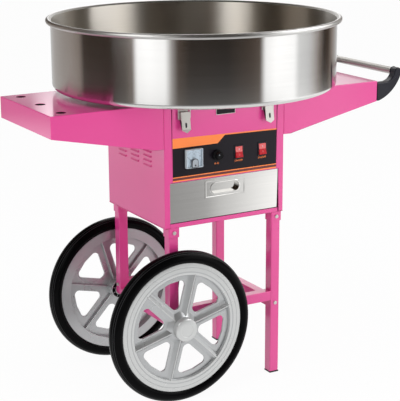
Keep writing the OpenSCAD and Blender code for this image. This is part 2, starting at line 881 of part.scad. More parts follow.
module switch_housings() {
  out_w = rocker_w + 2 * bezel_w;
  out_h = rocker_h + 2 * bezel_w;
  body_w = switch_cut_w - 2 * clear;
  body_h = switch_cut_h - 2 * clear;
  hole_w = rocker_w + 2 * gap;
  hole_h = rocker_h + 2 * gap;
  color(black) for (x = [motor_switch_x, heat_switch_x]) translate([x, -half_d, control_z]) {
    difference() {
      union() {
        box([-out_w / 2, -switch_t, -out_h / 2], [out_w / 2, 0, out_h / 2]);
        box([-body_w / 2, -1, -body_h / 2], [body_w / 2, switch_depth, body_h / 2]);
      }
      box([-hole_w / 2, -switch_t - 1, -hole_h / 2], [hole_w / 2, switch_well, hole_h / 2]);
    }
    rod_x(switch_pin_d, -hole_w / 2 - 0.5, hole_w / 2 + 0.5, 0, 0);
  }
}

// A rocker turned by its tilt, with the upper half pressed in
module rocker(x) {
  r = rocker_h / 2;
  translate([x, -half_d, control_z]) rotate([-rocker_tilt, 0, 0]) difference() {
    intersection() {
      rod_x(rocker_h, -rocker_w / 2, rocker_w / 2, 0, 0);
      prism_x(rocker_w) polygon([[-rocker_out, r], [-rocker_dip, 0], [-rocker_out, -r],
                                 [rocker_in, -r], [rocker_in, r]]);
    }
    rod_x(switch_pin_d + 2 * run, -rocker_w, rocker_w, 0, 0);
  }
}

module motor_rocker() { color(red) rocker(motor_switch_x); }
module heat_rocker() { color(red) rocker(heat_switch_x); }

module cable_gland() {
  z = cab_top - gland_drop;
  body = 2 * gland_bore;
  color(black) difference() {
    union() {
      rod_y(body, half_d - sheet - gland_in, half_d + gland_out, gland_x, z);
      rod_y(1.5 * body, half_d, half_d + gland_flange, gland_x, z);
      rod_y(1.25 * body, half_d + gland_flange, half_d + gland_out - 2, gland_x, z);
      rod_y(1.5 * body, half_d - sheet - gland_flange, half_d - sheet, gland_x, z);
    }
    rod_y(gland_bore, half_d - 2 * gland_out, half_d + 2 * gland_out, gland_x, z);
  }
}

// Bowl latches, drawn on the cabinet's face with the outside towards +Y
module at_latch(side_x, side_y) {
  mirror([0, side_y > 0 ? 0 : 1, 0]) translate([side_x * latch_x, half_d, cab_top - latch_drop]) children();
}

module latch_base() {
  box([-ear_out, 0, -base_low], [ear_out, sheet, base_high]);
  both_sides_x() box([ear_in, 0, -ear_h], [ear_out, plate_y, ear_h]);
  rod_x(pin_d, -ear_out, ear_out, pivot_out, 0);
}

module latch_bases() {
  color(steel) for (x = [-1, 1]) for (y = [-1, 1]) at_latch(x, y) latch_base();
}

// Inner face of a lever's leaning plate at a height
function lever_y(z) = plate_y + lever_lean * (cheek_top - z) / (cheek_top + lever_len - tip_h);

// A folded lever: two cheeks on the pin and a leaning plate that ends in a bent point
module lever() {
  half = latch_w / 2;
  fold = tip_h - lever_len;
  low = bail_z - cheek_low;
  inner = pivot_out - cheek_in;
  difference() {
    union() {
      both_sides_x() translate([half - sheet / 2, 0, 0]) prism_x(sheet)
        polygon([[inner, low], [inner, cheek_top / 2], [pivot_out + 1, cheek_top],
          [plate_y + sheet, cheek_top], [lever_y(low) + sheet, low]]);
      intersection() {
        prism_x(latch_w) polygon([[plate_y, cheek_top], [plate_y + sheet, cheek_top], [lever_y(fold) + sheet, fold],
          [lever_y(fold) + sheet + tip_bend, -lever_len], [lever_y(fold) + tip_bend, -lever_len],
          [lever_y(fold), fold]]);
        prism_y(0, 4 * plate_y) polygon([[-half, cheek_top + 1], [half, cheek_top + 1], [half, fold - tip_flat],
          [0, -lever_len], [-half, fold - tip_flat]]);
      }
    }
    rod_x(pin_d + 2 * run, -latch_w, latch_w, pivot_out, 0);
    rod_x(wire_d + 2 * run, -latch_w, latch_w, bail_y, bail_z);
    prism_y(0, 4 * plate_y) translate([0, fold + tip_h]) rotate(90) stadium(lever_slot[1], lever_slot[0]);
  }
}

// The wire loop that pulls the bowl's hook down
module bail() {
  inner = latch_w / 2 - sheet - gap;
  for (side = [-1, 1]) {
    translate([side * wire_x, bail_y, bail_z]) cylinder(d = wire_d, h = bar_z - bail_z);
    translate([side * wire_x, bail_y, bail_z]) sphere(d = wire_d);
    translate([side * wire_x, bail_y, bar_z]) sphere(d = wire_d);
    mirror([side < 0 ? 1 : 0, 0, 0]) rod_x(wire_d, inner, wire_x, bail_y, bail_z);
  }
  rod_x(wire_d, -wire_x, wire_x, bail_y, bar_z);
}

module latch_lever_fl() { color(steel) at_latch(-1, -1) lever(); }
module latch_lever_fr() { color(steel) at_latch(1, -1) lever(); }
module latch_lever_bl() { color(steel) at_latch(-1, 1) lever(); }
module latch_lever_br() { color(steel) at_latch(1, 1) lever(); }
module latch_bail_fl() { color(steel) at_latch(-1, -1) bail(); }
module latch_bail_fr() { color(steel) at_latch(1, -1) bail(); }
module latch_bail_bl() { color(steel) at_latch(-1, 1) bail(); }
module latch_bail_br() { color(steel) at_latch(1, 1) bail(); }

// A hook spot-welded under the bowl, that the bail's bar sits in
module bowl_hook() {
  stem = gap;
  top = latch_drop + seat_h - run;
  low = bar_z - wire_d / 2 - gap - sheet;
  lip = bail_y + wire_d / 2 + gap;
  prism_x(hook_w) polygon([[stem, top], [stem, low], [lip + sheet, low], [lip + sheet, bar_z], [lip, bar_z],
    [lip, low + sheet], [stem + sheet, low + sheet], [stem + sheet, top]]);
}

// Bowl
module bowl_outline(r, corner, height) {
  square([r - corner, height]);
  translate([0, corner]) square([r, height - corner]);
  translate([r - corner, corner]) circle(corner);
}

// The collar is pressed into the hole in the floor
module bowl() {
  hole_r = bowl_hole_d / 2;
  color(steel) {
    translate([0, 0, bowl_z]) rotate_extrude() {
      difference() {
        bowl_outline(bowl_r, bowl_corner, bowl_h - rim_bead / 2);
        translate([0, bowl_wall]) bowl_outline(bowl_r - bowl_wall, bowl_corner - bowl_wall, bowl_h);
        translate([0, -1]) square([hole_r, bowl_h]);
      }
      translate([rim_r_mid, bowl_h - rim_bead / 2]) circle(d = rim_bead);
      translate([hole_r - run - bowl_wall, 0]) square([bowl_wall, bowl_collar_h]);
    }
    for (x = [-1, 1]) for (y = [-1, 1]) at_latch(x, y) bowl_hook();
  }
}

module bowl_gasket() {
  color(black) translate([0, 0, cab_top]) linear_extrude(seat_h) difference() {
    circle(d = seat_d + seat_w);
    circle(d = seat_d - seat_w);
  }
}

// Spinner head
module spinner_pan() {
  bore_r = spindle_d / 2;
  color(steel) translate([0, 0, head_z]) rotate_extrude() {
    translate([bore_r, 0]) square([head_r - bore_r, pan_t]);
    translate([bore_r, -pan_hub_h]) square([pan_hub_h, 2 * pan_hub_h]);
  }
}

module spinner_mesh() {
  r = head_r - 3;
  band = 1.2;
  slot = [2.2 * head_r, 3, mesh_h - 8];
  color(steel) difference() {
    translate([0, 0, mesh_z]) linear_extrude(mesh_h) difference() {
      circle(r);
      circle(r - band);
    }
    for (i = [0 : mesh_slots / 2 - 1]) rotate(i * 360 / mesh_slots)
      translate([0, 0, mesh_z + mesh_h / 2]) cube(slot, center = true);
  }
}

module spinner_cover() {
  throat = sugar_r * 0.75;
  color(steel) translate([0, 0, cover_z]) rotate_extrude()
    polygon([[sugar_r, pan_t], [sugar_r, 0], [throat, -funnel_h], [throat + pan_t, -funnel_h],
             [sugar_r + pan_t, 0], [head_r, 0], [head_r, pan_t]]);
}

// A ribbon on four insulated posts
module heating_element() {
  r = head_r - heater_inset;
  color(copper) translate([0, 0, mesh_z]) {
    translate([0, 0, heater_post]) linear_extrude(heater_h) difference() {
      circle(r);
      circle(r - heater_t);
    }
    for (i = [0 : 3]) rotate(i * 90) translate([r - 2 * heater_t, -1.5 * heater_t, 0])
      cube([2 * heater_t, 3 * heater_t, heater_post + heater_t]);
  }
}

// Drive
module spindle() {
  color(steel) translate([0, 0, spindle_z]) cylinder(d = spindle_d, h = head_z + pan_hub_h - spindle_z);
}

module pulley(r, bore) {
  difference() {
    translate([0, 0, belt_z - pulley_h / 2]) {
      cylinder(r = r, h = pulley_h);
      cylinder(r = r + belt_t - 1, h = pulley_cheek);
      translate([0, 0, pulley_h - pulley_cheek]) cylinder(r = r + belt_t - 1, h = pulley_cheek);
    }
    translate([0, 0, belt_z - pulley_h]) cylinder(d = bore, h = 2 * pulley_h);
  }
}

module spindle_pulley() {
  color(steel) pulley(pulley_r, spindle_d);
}

module slip_rings() {
  sleeve_d = (ring_d + spindle_d) / 2;
  color(black) translate([0, 0, sleeve_top - sleeve_h]) linear_extrude(sleeve_h) difference() {
    circle(d = sleeve_d);
    circle(d = spindle_d);
  }
  color(copper) for (z = rings) translate([0, 0, z - ring_h / 2]) linear_extrude(ring_h) difference() {
    circle(d = ring_d);
    circle(d = sleeve_d + 2 * run);
  }
}

module spindle_housing() {
  color(black) difference() {
    union() {
      translate([0, 0, housing_z]) cylinder(d = housing_d, h = neck_z - housing_z);
      translate([0, 0, deck_z - flange_t]) cylinder(d = housing_d + 2 * housing_flange, h = flange_t);
    }
    translate([0, 0, housing_z - 1]) cylinder(d = (spindle_d + bearing_d) / 2, h = 2 * housing_len);
    translate([0, 0, housing_z - 1]) cylinder(d = bearing_d, h = bearing_w + 1);
    translate([0, 0, neck_z - bearing_w]) cylinder(d = bearing_d, h = bearing_w + 1);
  }
}

module spindle_bearings() {
  color(steel) for (z = [housing_z, neck_z - bearing_w])
    translate([0, 0, z]) linear_extrude(bearing_w) difference() {
      circle(d = bearing_d);
      circle(d = spindle_d + 2 * run);
    }
}

// A post under the deck with a spring box for each carbon brush
module brush_holder() {
  post_y = -max(pulley_r + belt_t, housing_d / 2 + housing_flange) - 5;
  half = 12;
  wall = 3;
  low = min(rings) - ring_h;
  color(black) {
    box([-half, post_y - wall, low], [half, post_y, deck_z]);
    box([-half, post_y - 6 * wall, deck_z - wall], [half, post_y, deck_z]);
    for (z = rings)
      box([-half / 3, post_y - 1, z - ring_h / 3], [half / 3, -ring_d / 2 - gap, z + ring_h / 3]);
  }
}

module motor() {
  color("dimgray") translate([motor_x, motor_y, 0]) difference() {
    union() {
      translate([0, 0, motor_z]) cylinder(d = motor_d, h = motor_len);
      translate([0, 0, deck_z - flange_t]) cylinder(d = motor_d + 3 * flange_t, h = flange_t);
      translate([0, 0, motor_z - motor_boss]) cylinder(d = 3 * motor_shaft_d, h = motor_boss + 1);
    }
    translate([0, 0, motor_z - motor_boss - 1]) cylinder(d = motor_shaft_d + 2 * run, h = 0.8 * motor_len);
  }
}

module motor_shaft() {
  color(steel) translate([motor_x, motor_y, belt_z - pulley_h / 2])
    cylinder(d = motor_shaft_d, h = motor_z + motor_len / 2 - belt_z + pulley_h / 2);
}

module motor_pulley() {
  color(steel) translate([motor_x, motor_y, 0]) pulley(motor_pulley_r, motor_shaft_d);
}

module belt_loop(offset_r) {
  hull() {
    circle(pulley_r + offset_r);
    translate([motor_x, motor_y]) circle(motor_pulley_r + offset_r);
  }
}

module drive_belt() {
  color(black) translate([0, 0, belt_z - belt_w / 2]) linear_extrude(belt_w) difference() {
    belt_loop(gap + belt_t);
    belt_loop(gap);
  }
}

// Places the cart so that the origin is at the middle of its length
module placed() {
  translate([-overall_mid, 0, 0]) children();
}

placed() long_legs();
placed() short_legs();
placed() cross_rails();
placed() side_rails();
placed() leg_sockets();
placed() foot_caps();
placed() frame_hardware();
placed() axle();
placed() front_wheel();
placed() front_tyre();
placed() front_hub_cap();
placed() back_wheel();
placed() back_tyre();
placed() back_hub_cap();
placed() cabinet_shell();
placed() base_plate();
placed() top_plate();
placed() front_panel();
placed() left_shelf();
placed() right_shelf();
placed() handle_brackets();
placed() handle_bar();
placed() drawer_front();
placed() drawer_tray();
placed() drawer_pull();
placed() drawer_runners();
placed() voltmeter_body();
placed() voltmeter_lens();
placed() voltmeter_needle();
placed() heat_control();
placed() heat_knob();
placed() switch_housings();
placed() motor_rocker();
placed() heat_rocker();
placed() cable_gland();
placed() latch_bases();
placed() latch_lever_fl();
placed() latch_lever_fr();
placed() latch_lever_bl();
placed() latch_lever_br();
placed() latch_bail_fl();
placed() latch_bail_fr();
placed() latch_bail_bl();
placed() latch_bail_br();
placed() bowl();
placed() bowl_gasket();
placed() spinner_pan();
placed() spinner_mesh();
placed() spinner_cover();
placed() heating_element();
placed() spindle();
placed() spindle_pulley();
placed() slip_rings();
placed() spindle_housing();
placed() spindle_bearings();
placed() brush_holder();
placed() motor();
placed() motor_shaft();
placed() motor_pulley();
placed() drive_belt();
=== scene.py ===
import json
import math

import bmesh
import bpy
from mathutils import Matrix, Vector


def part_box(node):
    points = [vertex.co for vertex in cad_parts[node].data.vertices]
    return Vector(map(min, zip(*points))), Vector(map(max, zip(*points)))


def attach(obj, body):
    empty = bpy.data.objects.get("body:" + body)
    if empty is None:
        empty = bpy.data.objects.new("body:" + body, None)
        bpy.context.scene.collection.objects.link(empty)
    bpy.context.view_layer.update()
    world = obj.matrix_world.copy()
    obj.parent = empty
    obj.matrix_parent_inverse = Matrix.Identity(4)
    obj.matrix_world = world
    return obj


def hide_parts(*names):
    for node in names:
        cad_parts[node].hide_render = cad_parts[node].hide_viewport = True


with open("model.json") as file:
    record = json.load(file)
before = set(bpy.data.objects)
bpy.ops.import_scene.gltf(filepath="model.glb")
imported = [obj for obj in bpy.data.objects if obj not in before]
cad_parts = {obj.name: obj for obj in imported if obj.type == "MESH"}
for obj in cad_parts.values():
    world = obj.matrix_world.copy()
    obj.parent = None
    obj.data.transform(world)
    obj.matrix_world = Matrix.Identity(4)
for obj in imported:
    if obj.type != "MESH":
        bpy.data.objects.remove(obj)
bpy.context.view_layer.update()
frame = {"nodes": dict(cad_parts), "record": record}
nodes = frame["nodes"]
bodyOf = {n: b for b, members in frame["record"]["behaviour"]["bodies"].items() for n in members}
mm = 0.001
scene = bpy.context.scene
print("frame loaded,", len(nodes), "CAD nodes")


def addObject(name, data):
    made = bpy.data.objects.new(name, data)
    scene.collection.objects.link(made)
    return made


# camera, fitted to the photograph
view = {"place": (-1.584835, -2.701793, 1.275989), "yaw": -29.672, "pitch": -15.328, "roll": -0.343,
        "focal": 1273.14, "axisAt": (192.64, 209.02), "image": (400, 401), "sensor": 36}
imageWide, imageHigh = view["image"]
cameraData = bpy.data.cameras.new("camera")
cameraData.sensor_width = view["sensor"]
cameraData.lens = view["sensor"] * view["focal"] / imageHigh
cameraData.shift_x = (imageWide / 2 - view["axisAt"][0]) / imageHigh
cameraData.shift_y = (view["axisAt"][1] - imageHigh / 2) / imageHigh
camera = addObject("camera", cameraData)
camera.location = view["place"]
camera.rotation_euler = (Matrix.Rotation(math.radians(view["yaw"]), 3, "Z")
                         @ Matrix.Rotation(math.radians(90 + view["pitch"]), 3, "X")
                         @ Matrix.Rotation(math.radians(view["roll"]), 3, "Z")).to_euler()
scene.camera = camera
scene.view_settings.view_transform = "Standard"


def setInputs(node, values):
    for key, value in values.items():
        node.inputs[key].default_value = value


def addNode(tree, kind, inputs=None, **settings):
    made = tree.nodes.new(kind)
    for key, value in settings.items():
        setattr(made, key, value)
    setInputs(made, inputs or {})
    return made


def wire(outlet, inlet):
    inlet.id_data.links.new(outlet, inlet)


def newMaterial(name):
    material = bpy.data.materials.new(name)
    material.use_nodes = True
    return material, material.node_tree


def calc(tree, operation, first, second=0.0, third=0.0, clamp=False):
    made = addNode(tree, "ShaderNodeMath", operation=operation, use_clamp=clamp)
    for inlet, value in zip(made.inputs, (first, second, third)):
        if isinstance(value, (int, float)):
            inlet.default_value = value
        else:
            wire(value, inlet)
    return made.outputs[0]


def blendColour(tree, factor, first, second):
    made = addNode(tree, "ShaderNodeMix", data_type="RGBA")
    wire(factor, made.inputs[0])
    for inlet, value in ((made.inputs[6], first), (made.inputs[7], second)):
        if isinstance(value, tuple):
            inlet.default_value = (*value, 1.0)
        else:
            wire(value, inlet)
    return made.outputs[2]


def rampUp(tree, value, start, gain):  # nought up to the start, then rising to one
    return calc(tree, "MULTIPLY", calc(tree, "SUBTRACT", value, start), gain, clamp=True)


def split(tree, vector):
    made = addNode(tree, "ShaderNodeSeparateXYZ")
    wire(vector, made.inputs[0])
    return made.outputs


def mapped(tree, vector, values, kind="POINT"):
    made = addNode(tree, "ShaderNodeMapping", values, vector_type=kind)
    wire(vector, made.inputs["Vector"])
    return made.outputs[0]


def newGroup(name, inlets, outlets):
    tree = bpy.data.node_groups.new(name, "ShaderNodeTree")
    for way, sockets in (("INPUT", inlets), ("OUTPUT", outlets)):
        for label, kind in sockets:
            tree.interface.new_socket(name=label, in_out=way, socket_type="NodeSocket" + kind)
    return tree, tree.nodes.new("NodeGroupInput"), tree.nodes.new("NodeGroupOutput")


def makeNoisePair(name, looks, scales=()):  # fine noise for the height, slow noise for the tone
    inlets = [("Vector", "Vector")] + [(label, "Float") for label in scales]
    tree, inlet, outlet = newGroup(name, inlets, [("Height", "Float"), ("Tone", "Float")])
    for i, result in enumerate(("Height", "Tone")):
        noise = addNode(tree, "ShaderNodeTexNoise", looks[i])
        wire(inlet.outputs["Vector"], noise.inputs["Vector"])
        if scales:
            wire(inlet.outputs[scales[i]], noise.inputs["Scale"])
        wire(noise.outputs["Fac"], outlet.inputs[result])
    return tree


def makeRingCoords():  # turns a place into angle, radius and height about the Z axis
    tree, inlet, outlet = newGroup("ringCoords", [("Vector", "Vector")], [("Vector", "Vector")])
    joined = addNode(tree, "ShaderNodeCombineXYZ")
    x, y, z = split(tree, inlet.outputs["Vector"])
    wire(calc(tree, "ARCTAN2", y, x), joined.inputs[0])
    squares = calc(tree, "ADD", calc(tree, "MULTIPLY", x, x), calc(tree, "MULTIPLY", y, y))
    wire(calc(tree, "SQRT", squares), joined.inputs[1])
    wire(z, joined.inputs[2])
    wire(joined.outputs[0], outlet.inputs["Vector"])
    return tree


dustLook = {"noise": {"Scale": 38.0, "Detail": 6.0, "Roughness": 0.7}, "upFrom": 0.2, "upGain": 1.25,
            "patchFrom": 0.3, "patchGain": 2.0}


def makeDustFilm():  # thin dust on faces that look up
    inlets = [("Vector", "Vector"), ("Amount", "Float")]
    tree, inlet, outlet = newGroup("dustFilm", inlets, [("Mask", "Float")])
    normal = addNode(tree, "ShaderNodeNewGeometry").outputs["Normal"]
    specks = addNode(tree, "ShaderNodeTexNoise", dustLook["noise"])
    wire(inlet.outputs["Vector"], specks.inputs["Vector"])
    upward = rampUp(tree, split(tree, normal)[2], dustLook["upFrom"], dustLook["upGain"])
    patchy = rampUp(tree, specks.outputs["Fac"], dustLook["patchFrom"], dustLook["patchGain"])
    film = calc(tree, "MULTIPLY", calc(tree, "MULTIPLY", upward, patchy), inlet.outputs["Amount"])
    wire(film, outlet.inputs["Mask"])
    return tree


# moulded is the skin of a moulding or a paint film; brushed takes a vector drawn out along its scratches
mouldedLooks = ({"Detail": 3.0, "Roughness": 0.6}, {"Detail": 2.0, "Roughness": 0.5})
brushedLooks = ({"Scale": 1.0, "Detail": 5.0, "Roughness": 0.75},
                {"Scale": 0.13, "Detail": 3.0, "Roughness": 0.6})
effects = {
    "moulded": makeNoisePair("mouldedTexture", mouldedLooks, ("Grain", "Drift")),
    "brushed": makeNoisePair("brushedTexture", brushedLooks),
    "ring": makeRingCoords(), "dust": makeDustFilm(),
}


def placeEffect(tree, key, vector, values=None):
    made = addNode(tree, "ShaderNodeGroup", values, node_tree=effects[key])
    wire(vector, made.inputs["Vector"])
    return made


def makeFinish(name, colour, rough, metal=0.0, grain=600.0, drift=7.0, tone=0.05, vary=0.08, bump=0.06,
               depth=0.3, brush=None, centre=None, dust=0.0, dustColour=(0.5, 0.48, 0.46), shine=0.5,
               coat=(0.0, 0.03), sockets=None):
    material, tree = newMaterial(name)
    surface = tree.nodes["Principled BSDF"]
    setInputs(surface, {"Metallic": metal, "Specular IOR Level": shine, "Coat Weight": coat[0],
                        "Coat Roughness": coat[1], **(sockets or {})})
    place = addNode(tree, "ShaderNodeTexCoord").outputs["Object"]
    vector = place
    if centre is not None:  # a turned piece: the grain runs round its axis
        moved = mapped(tree, vector, {"Location": centre}, "TEXTURE")
        vector = placeEffect(tree, "ring", moved).outputs["Vector"]
    if brush is not None:
        texture = placeEffect(tree, "brushed", mapped(tree, vector, {"Scale": brush}))
    else:
        texture = placeEffect(tree, "moulded", vector, {"Grain": grain, "Drift": drift})
    low = tuple(max(0.0, c * (1 - tone)) for c in colour)
    high = tuple(min(1.0, c * (1 + tone)) for c in colour)
    shade = blendColour(tree, texture.outputs["Tone"], low, high)
    roughness = calc(tree, "MULTIPLY_ADD", texture.outputs["Tone"], vary, rough - vary / 2)
    if dust > 0:
        film = placeEffect(tree, "dust", place, {"Amount": dust}).outputs["Mask"]
        shade = blendColour(tree, film, shade, dustColour)
        roughness = calc(tree, "ADD", roughness, calc(tree, "MULTIPLY", film, 0.5), clamp=True)
    wire(shade, surface.inputs["Base Color"])
    wire(roughness, surface.inputs["Roughness"])
    relief = addNode(tree, "ShaderNodeBump", {"Strength": bump, "Distance": depth * mm})
    wire(texture.outputs["Height"], relief.inputs["Height"])
    wire(relief.outputs["Normal"], surface.inputs["Normal"])
    return material


def middle(node):
    low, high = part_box(node)
    return (low + high) / 2


bowlMid = middle("bowl")
spinAxis = (bowlMid.x, bowlMid.y, 0.0)
spun = {"metal": 1.0, "tone": 0.05, "bump": 0.02, "depth": 0.1, "brush": (3, 2600, 2600), "centre": spinAxis}
drawn = {"Anisotropic": 1.0, "Anisotropic Rotation": 0.25}
lathe = {"metal": 1.0, "bump": 0.06, "depth": 0.1, "brush": (3, 2400, 2400), "centre": spinAxis}
silver = {"grain": 900, "drift": 9, "tone": 0.04, "vary": 0.1, "bump": 0.05, "coat": (0.15, 0.15)}
printed = {"grain": 1800, "drift": 9, "bump": 0.05}
paper = {"grain": 2600, "drift": 40, "bump": 0.05}
finishes = {
    "pink": makeFinish("pinkPaint", (0.72, 0.05, 0.275), 0.3, grain=420, drift=5, tone=0.03, vary=0.06,
        bump=0.035, coat=(0.75, 0.08)),
    "bowlSteel": makeFinish("spunStainless", (0.66, 0.655, 0.645), 0.14, vary=0.04, sockets=drawn, **spun),
    "bowlInside": makeFinish("spunInside", (0.56, 0.53, 0.485), 0.3, vary=0.05, sockets=drawn, **spun),
    "bowlRim": makeFinish("rolledRim", (0.60, 0.595, 0.58), 0.42, vary=0.06,
        sockets={**drawn, "Anisotropic": 0.4}, **spun),
    # painted shade: a dark steel for the inward faces of the rolled rim
    "rimPaintedShade": makeFinish("rimPaintedShade", (0.2, 0.19, 0.175), 0.4, vary=0.06, **spun),
    "sheetSteel": makeFinish("brushedStainless", (0.71, 0.70, 0.68), 0.1, 1.0, tone=0.06, vary=0.04,
        bump=0.05, depth=0.1, brush=(14, 2200, 2200)),
    "barSteel": makeFinish("barStainless", (0.47, 0.457, 0.432), 0.48, 1.0, tone=0.06, vary=0.1,
        bump=0.05, depth=0.1, brush=(2200, 14, 2200)),
    "nickel": makeFinish("brightNickel", (0.64, 0.625, 0.59), 0.38, 0.85, grain=300, drift=40, vary=0.1,
        bump=0.03),
    "wheelGrey": makeFinish("silverMoulding", (0.465, 0.475, 0.48), 0.28, 0.7, dust=0.04, **silver),
    # brighter silver for the ring and hub cap, also a painted highlight on the spoke ridge lines
    "wheelRingAndRidgeHighlight": makeFinish("silverRingAndRidgeHighlight", (0.585, 0.595, 0.59), 0.28, 0.6, dust=0.03, **silver),
    "tyre": makeFinish("tyreRubber", (0.0015, 0.0015, 0.0017), 0.2, grain=1400, drift=12, tone=0.2,
        vary=0.14, bump=0.12, dust=0.01, dustColour=(0.1, 0.095, 0.09), shine=0.05),
    "tyreGroove": makeFinish("grooveRubber", (0.010, 0.010, 0.011), 0.3, grain=1400, drift=12, tone=0.2,
        vary=0.1, bump=0.1, shine=0.4),
    "black": makeFinish("blackMoulding", (0.010, 0.010, 0.016), 0.32, grain=1500, drift=30, tone=0.3,
        vary=0.3, bump=0.08, dust=0.02, dustColour=(0.15, 0.14, 0.15), shine=0.3),
    "red": makeFinish("redLens", (0.46, 0.009, 0.018), 0.3, grain=700, drift=30, tone=0.08, vary=0.06,
        bump=0.02, shine=0.25),
    # painted highlight: a lighter copy of the red lens for the rocker's upper half
    "redPaintedHighlight": makeFinish("lensPaintedHighlight", (0.68, 0.085, 0.088), 0.16, grain=700, drift=30, tone=0.08, vary=0.06,
        bump=0.02, coat=(0.5, 0.04)),
    "dial": makeFinish("dialCard", (0.58, 0.63, 0.69), 0.5, tone=0.03, **paper),
    # dark ink for the dial's print, also used as painted shade in screw slots, behind latch slots and round
    # the meter's arch
    "inkAndShade": makeFinish("dialInkAndShade", (0.03, 0.03, 0.035), 0.5, tone=0.1, **paper),
    "meterCase": makeFinish("meterCase", (0.55, 0.60, 0.65), 0.3, grain=2200, drift=40, tone=0.04, bump=0.04),
    "filmBlack": makeFinish("panelFilm", (0.009, 0.007, 0.011), 0.34, tone=0.12, shine=0.2, **printed),
    "filmOrange": makeFinish("orangeFilm", (1.0, 0.24, 0.045), 0.34, tone=0.03, **printed),
    "filmBrown": makeFinish("brownFilm", (0.11, 0.02, 0.022), 0.34, tone=0.05, **printed),
    # black for the knob, also used as painted shade in the stick holes
    "knobBlackAndHoleShade": makeFinish("knobMouldingAndHoleShade", (0.005, 0.005, 0.006), 0.45, grain=1500, drift=20, tone=0.12,
        bump=0.08, shine=0.12),
    "archGrey": makeFinish("archMoulding", (0.36, 0.39, 0.43), 0.4, grain=2200, drift=40, tone=0.05,
        bump=0.04),
    "rubber": makeFinish("seatRubber", (0.018, 0.018, 0.019), 0.6, grain=1100, drift=20, tone=0.15,
        bump=0.15),
    "iron": makeFinish("castHousing", (0.14, 0.14, 0.15), 0.55, 0.3, grain=500, drift=25, tone=0.15,
        bump=0.25),
    "turned": makeFinish("turnedAluminium", (0.66, 0.66, 0.67), 0.25, tone=0.05, **lathe),
    "copper": makeFinish("ringCopper", (0.72, 0.36, 0.16), 0.25, tone=0.08, **lathe),
    "heater": makeFinish("heatTintedRibbon", (0.42, 0.33, 0.27), 0.35, 1.0, grain=500, drift=60, tone=0.25,
        bump=0.08),
    "motorPaint": makeFinish("motorPaint", (0.035, 0.038, 0.042), 0.45, grain=700, drift=14, tone=0.08,
        bump=0.1),
    "clear": makeFinish("meterAcrylic", (0.93, 0.97, 1.0), 0.04, grain=500, drift=20, tone=0.01, vary=0.02,
        bump=0.01, sockets={"Transmission Weight": 1.0, "IOR": 1.2}),
}
print("finishes made,", len(finishes))

# distances in metres, angles in degrees; a face counts as wide from so many folds on
meshRules = {"weld": 1e-6, "flat": 0.5, "fold": 32, "wide": 2.5, "cut": 1e-7, "sharp": 40}


def inMm(points):  # pairs of millimetres, given in metres
    return [(first * mm, second * mm) for first, second in points]


def vertsOf(parts):
    return [part for part in parts if isinstance(part, bmesh.types.BMVert)]


def facesOf(parts):
    return [part for part in parts if isinstance(part, bmesh.types.BMFace)]


def roundOff(bm, parts, width, steps, affect="EDGES"):
    bmesh.ops.bevel(bm, geom=parts, offset=width, offset_type="OFFSET", segments=steps, profile=0.5,
                    affect=affect, clamp_overlap=False, material=-1)


def block(size, place):  # a box by its three sizes and its middle
    bm = bmesh.new()
    bmesh.ops.create_cube(bm, size=1.0)
    bmesh.ops.scale(bm, vec=size, verts=bm.verts)
    bmesh.ops.translate(bm, vec=place, verts=bm.verts)
    return bm


def cutAcross(bm, place, normal):
    whole = bm.verts[:] + bm.edges[:] + bm.faces[:]
    bmesh.ops.bisect_plane(bm, geom=whole, dist=meshRules["cut"], plane_co=place, plane_no=normal)


def thicken(bm, step):  # a sheet of faces grown along a step into a closed solid
    grown = bmesh.ops.extrude_face_region(bm, geom=bm.faces[:])
    bmesh.ops.translate(bm, vec=step, verts=vertsOf(grown["geom"]))
    bmesh.ops.recalc_face_normals(bm, faces=bm.faces)
    return bm


def welded(mesh):
    bm = bmesh.new()
    bm.from_mesh(mesh)
    bmesh.ops.remove_doubles(bm, verts=bm.verts, dist=meshRules["weld"])
    return bm


def cadCopy(node):  # a merged copy of a CAD node, with its flat faces whole again
    bm = welded(nodes[node].data)
    bmesh.ops.dissolve_limit(bm, angle_limit=math.radians(meshRules["flat"]), use_dissolve_boundaries=False,
                             verts=bm.verts, edges=bm.edges, delimit=set())
    return bm


def softEdges(bm, fold, rim, segments=3, shortToo=False):  # folds get a radius, sheet edges a small chamfer
    fold, rim = fold * mm, rim * mm
    for width, thin, steps in ((fold, False, segments), (rim, True, 1)):
        chosen = []
        bm.normal_update()
        for edge in bm.edges:
            if len(edge.link_faces) != 2 or not edge.is_convex:
                continue
            if edge.calc_face_angle() < math.radians(meshRules["fold"]):
                continue
            length = edge.calc_length()
            reach = min(face.calc_area() for face in edge.link_faces) / max(length, meshRules["cut"])
            wide = meshRules["wide"] * fold
            narrow = reach < wide or (length < wide and not shortToo)
            if narrow == thin:
                chosen.append(edge)
        if chosen and width > 0:
            roundOff(bm, chosen, width, steps)
    return bm


def turned(profile, steps, closed=False):  # a profile of radius and height, spun round Z
    bm = bmesh.new()
    line = [bm.verts.new((r, 0.0, h)) for r, h in profile]
    edges = [bm.edges.new(pair) for pair in zip(line, line[1:])]
    if closed:
        edges.append(bm.edges.new((line[-1], line[0])))
    bmesh.ops.spin(bm, geom=line + edges, cent=(0, 0, 0), axis=(0, 0, 1), angle=math.tau, steps=steps,
                   use_merge=True)
    bmesh.ops.remove_doubles(bm, verts=bm.verts, dist=meshRules["weld"])
    bmesh.ops.recalc_face_normals(bm, faces=bm.faces)
    return bm


def arc(centre, radius, start, end, steps):  # profile points on a round
    points = []
    for i in range(steps + 1):
        angle = math.radians(start + (end - start) * i / steps)
        points.append((centre[0] + radius * math.cos(angle), centre[1] + radius * math.sin(angle)))
    return points


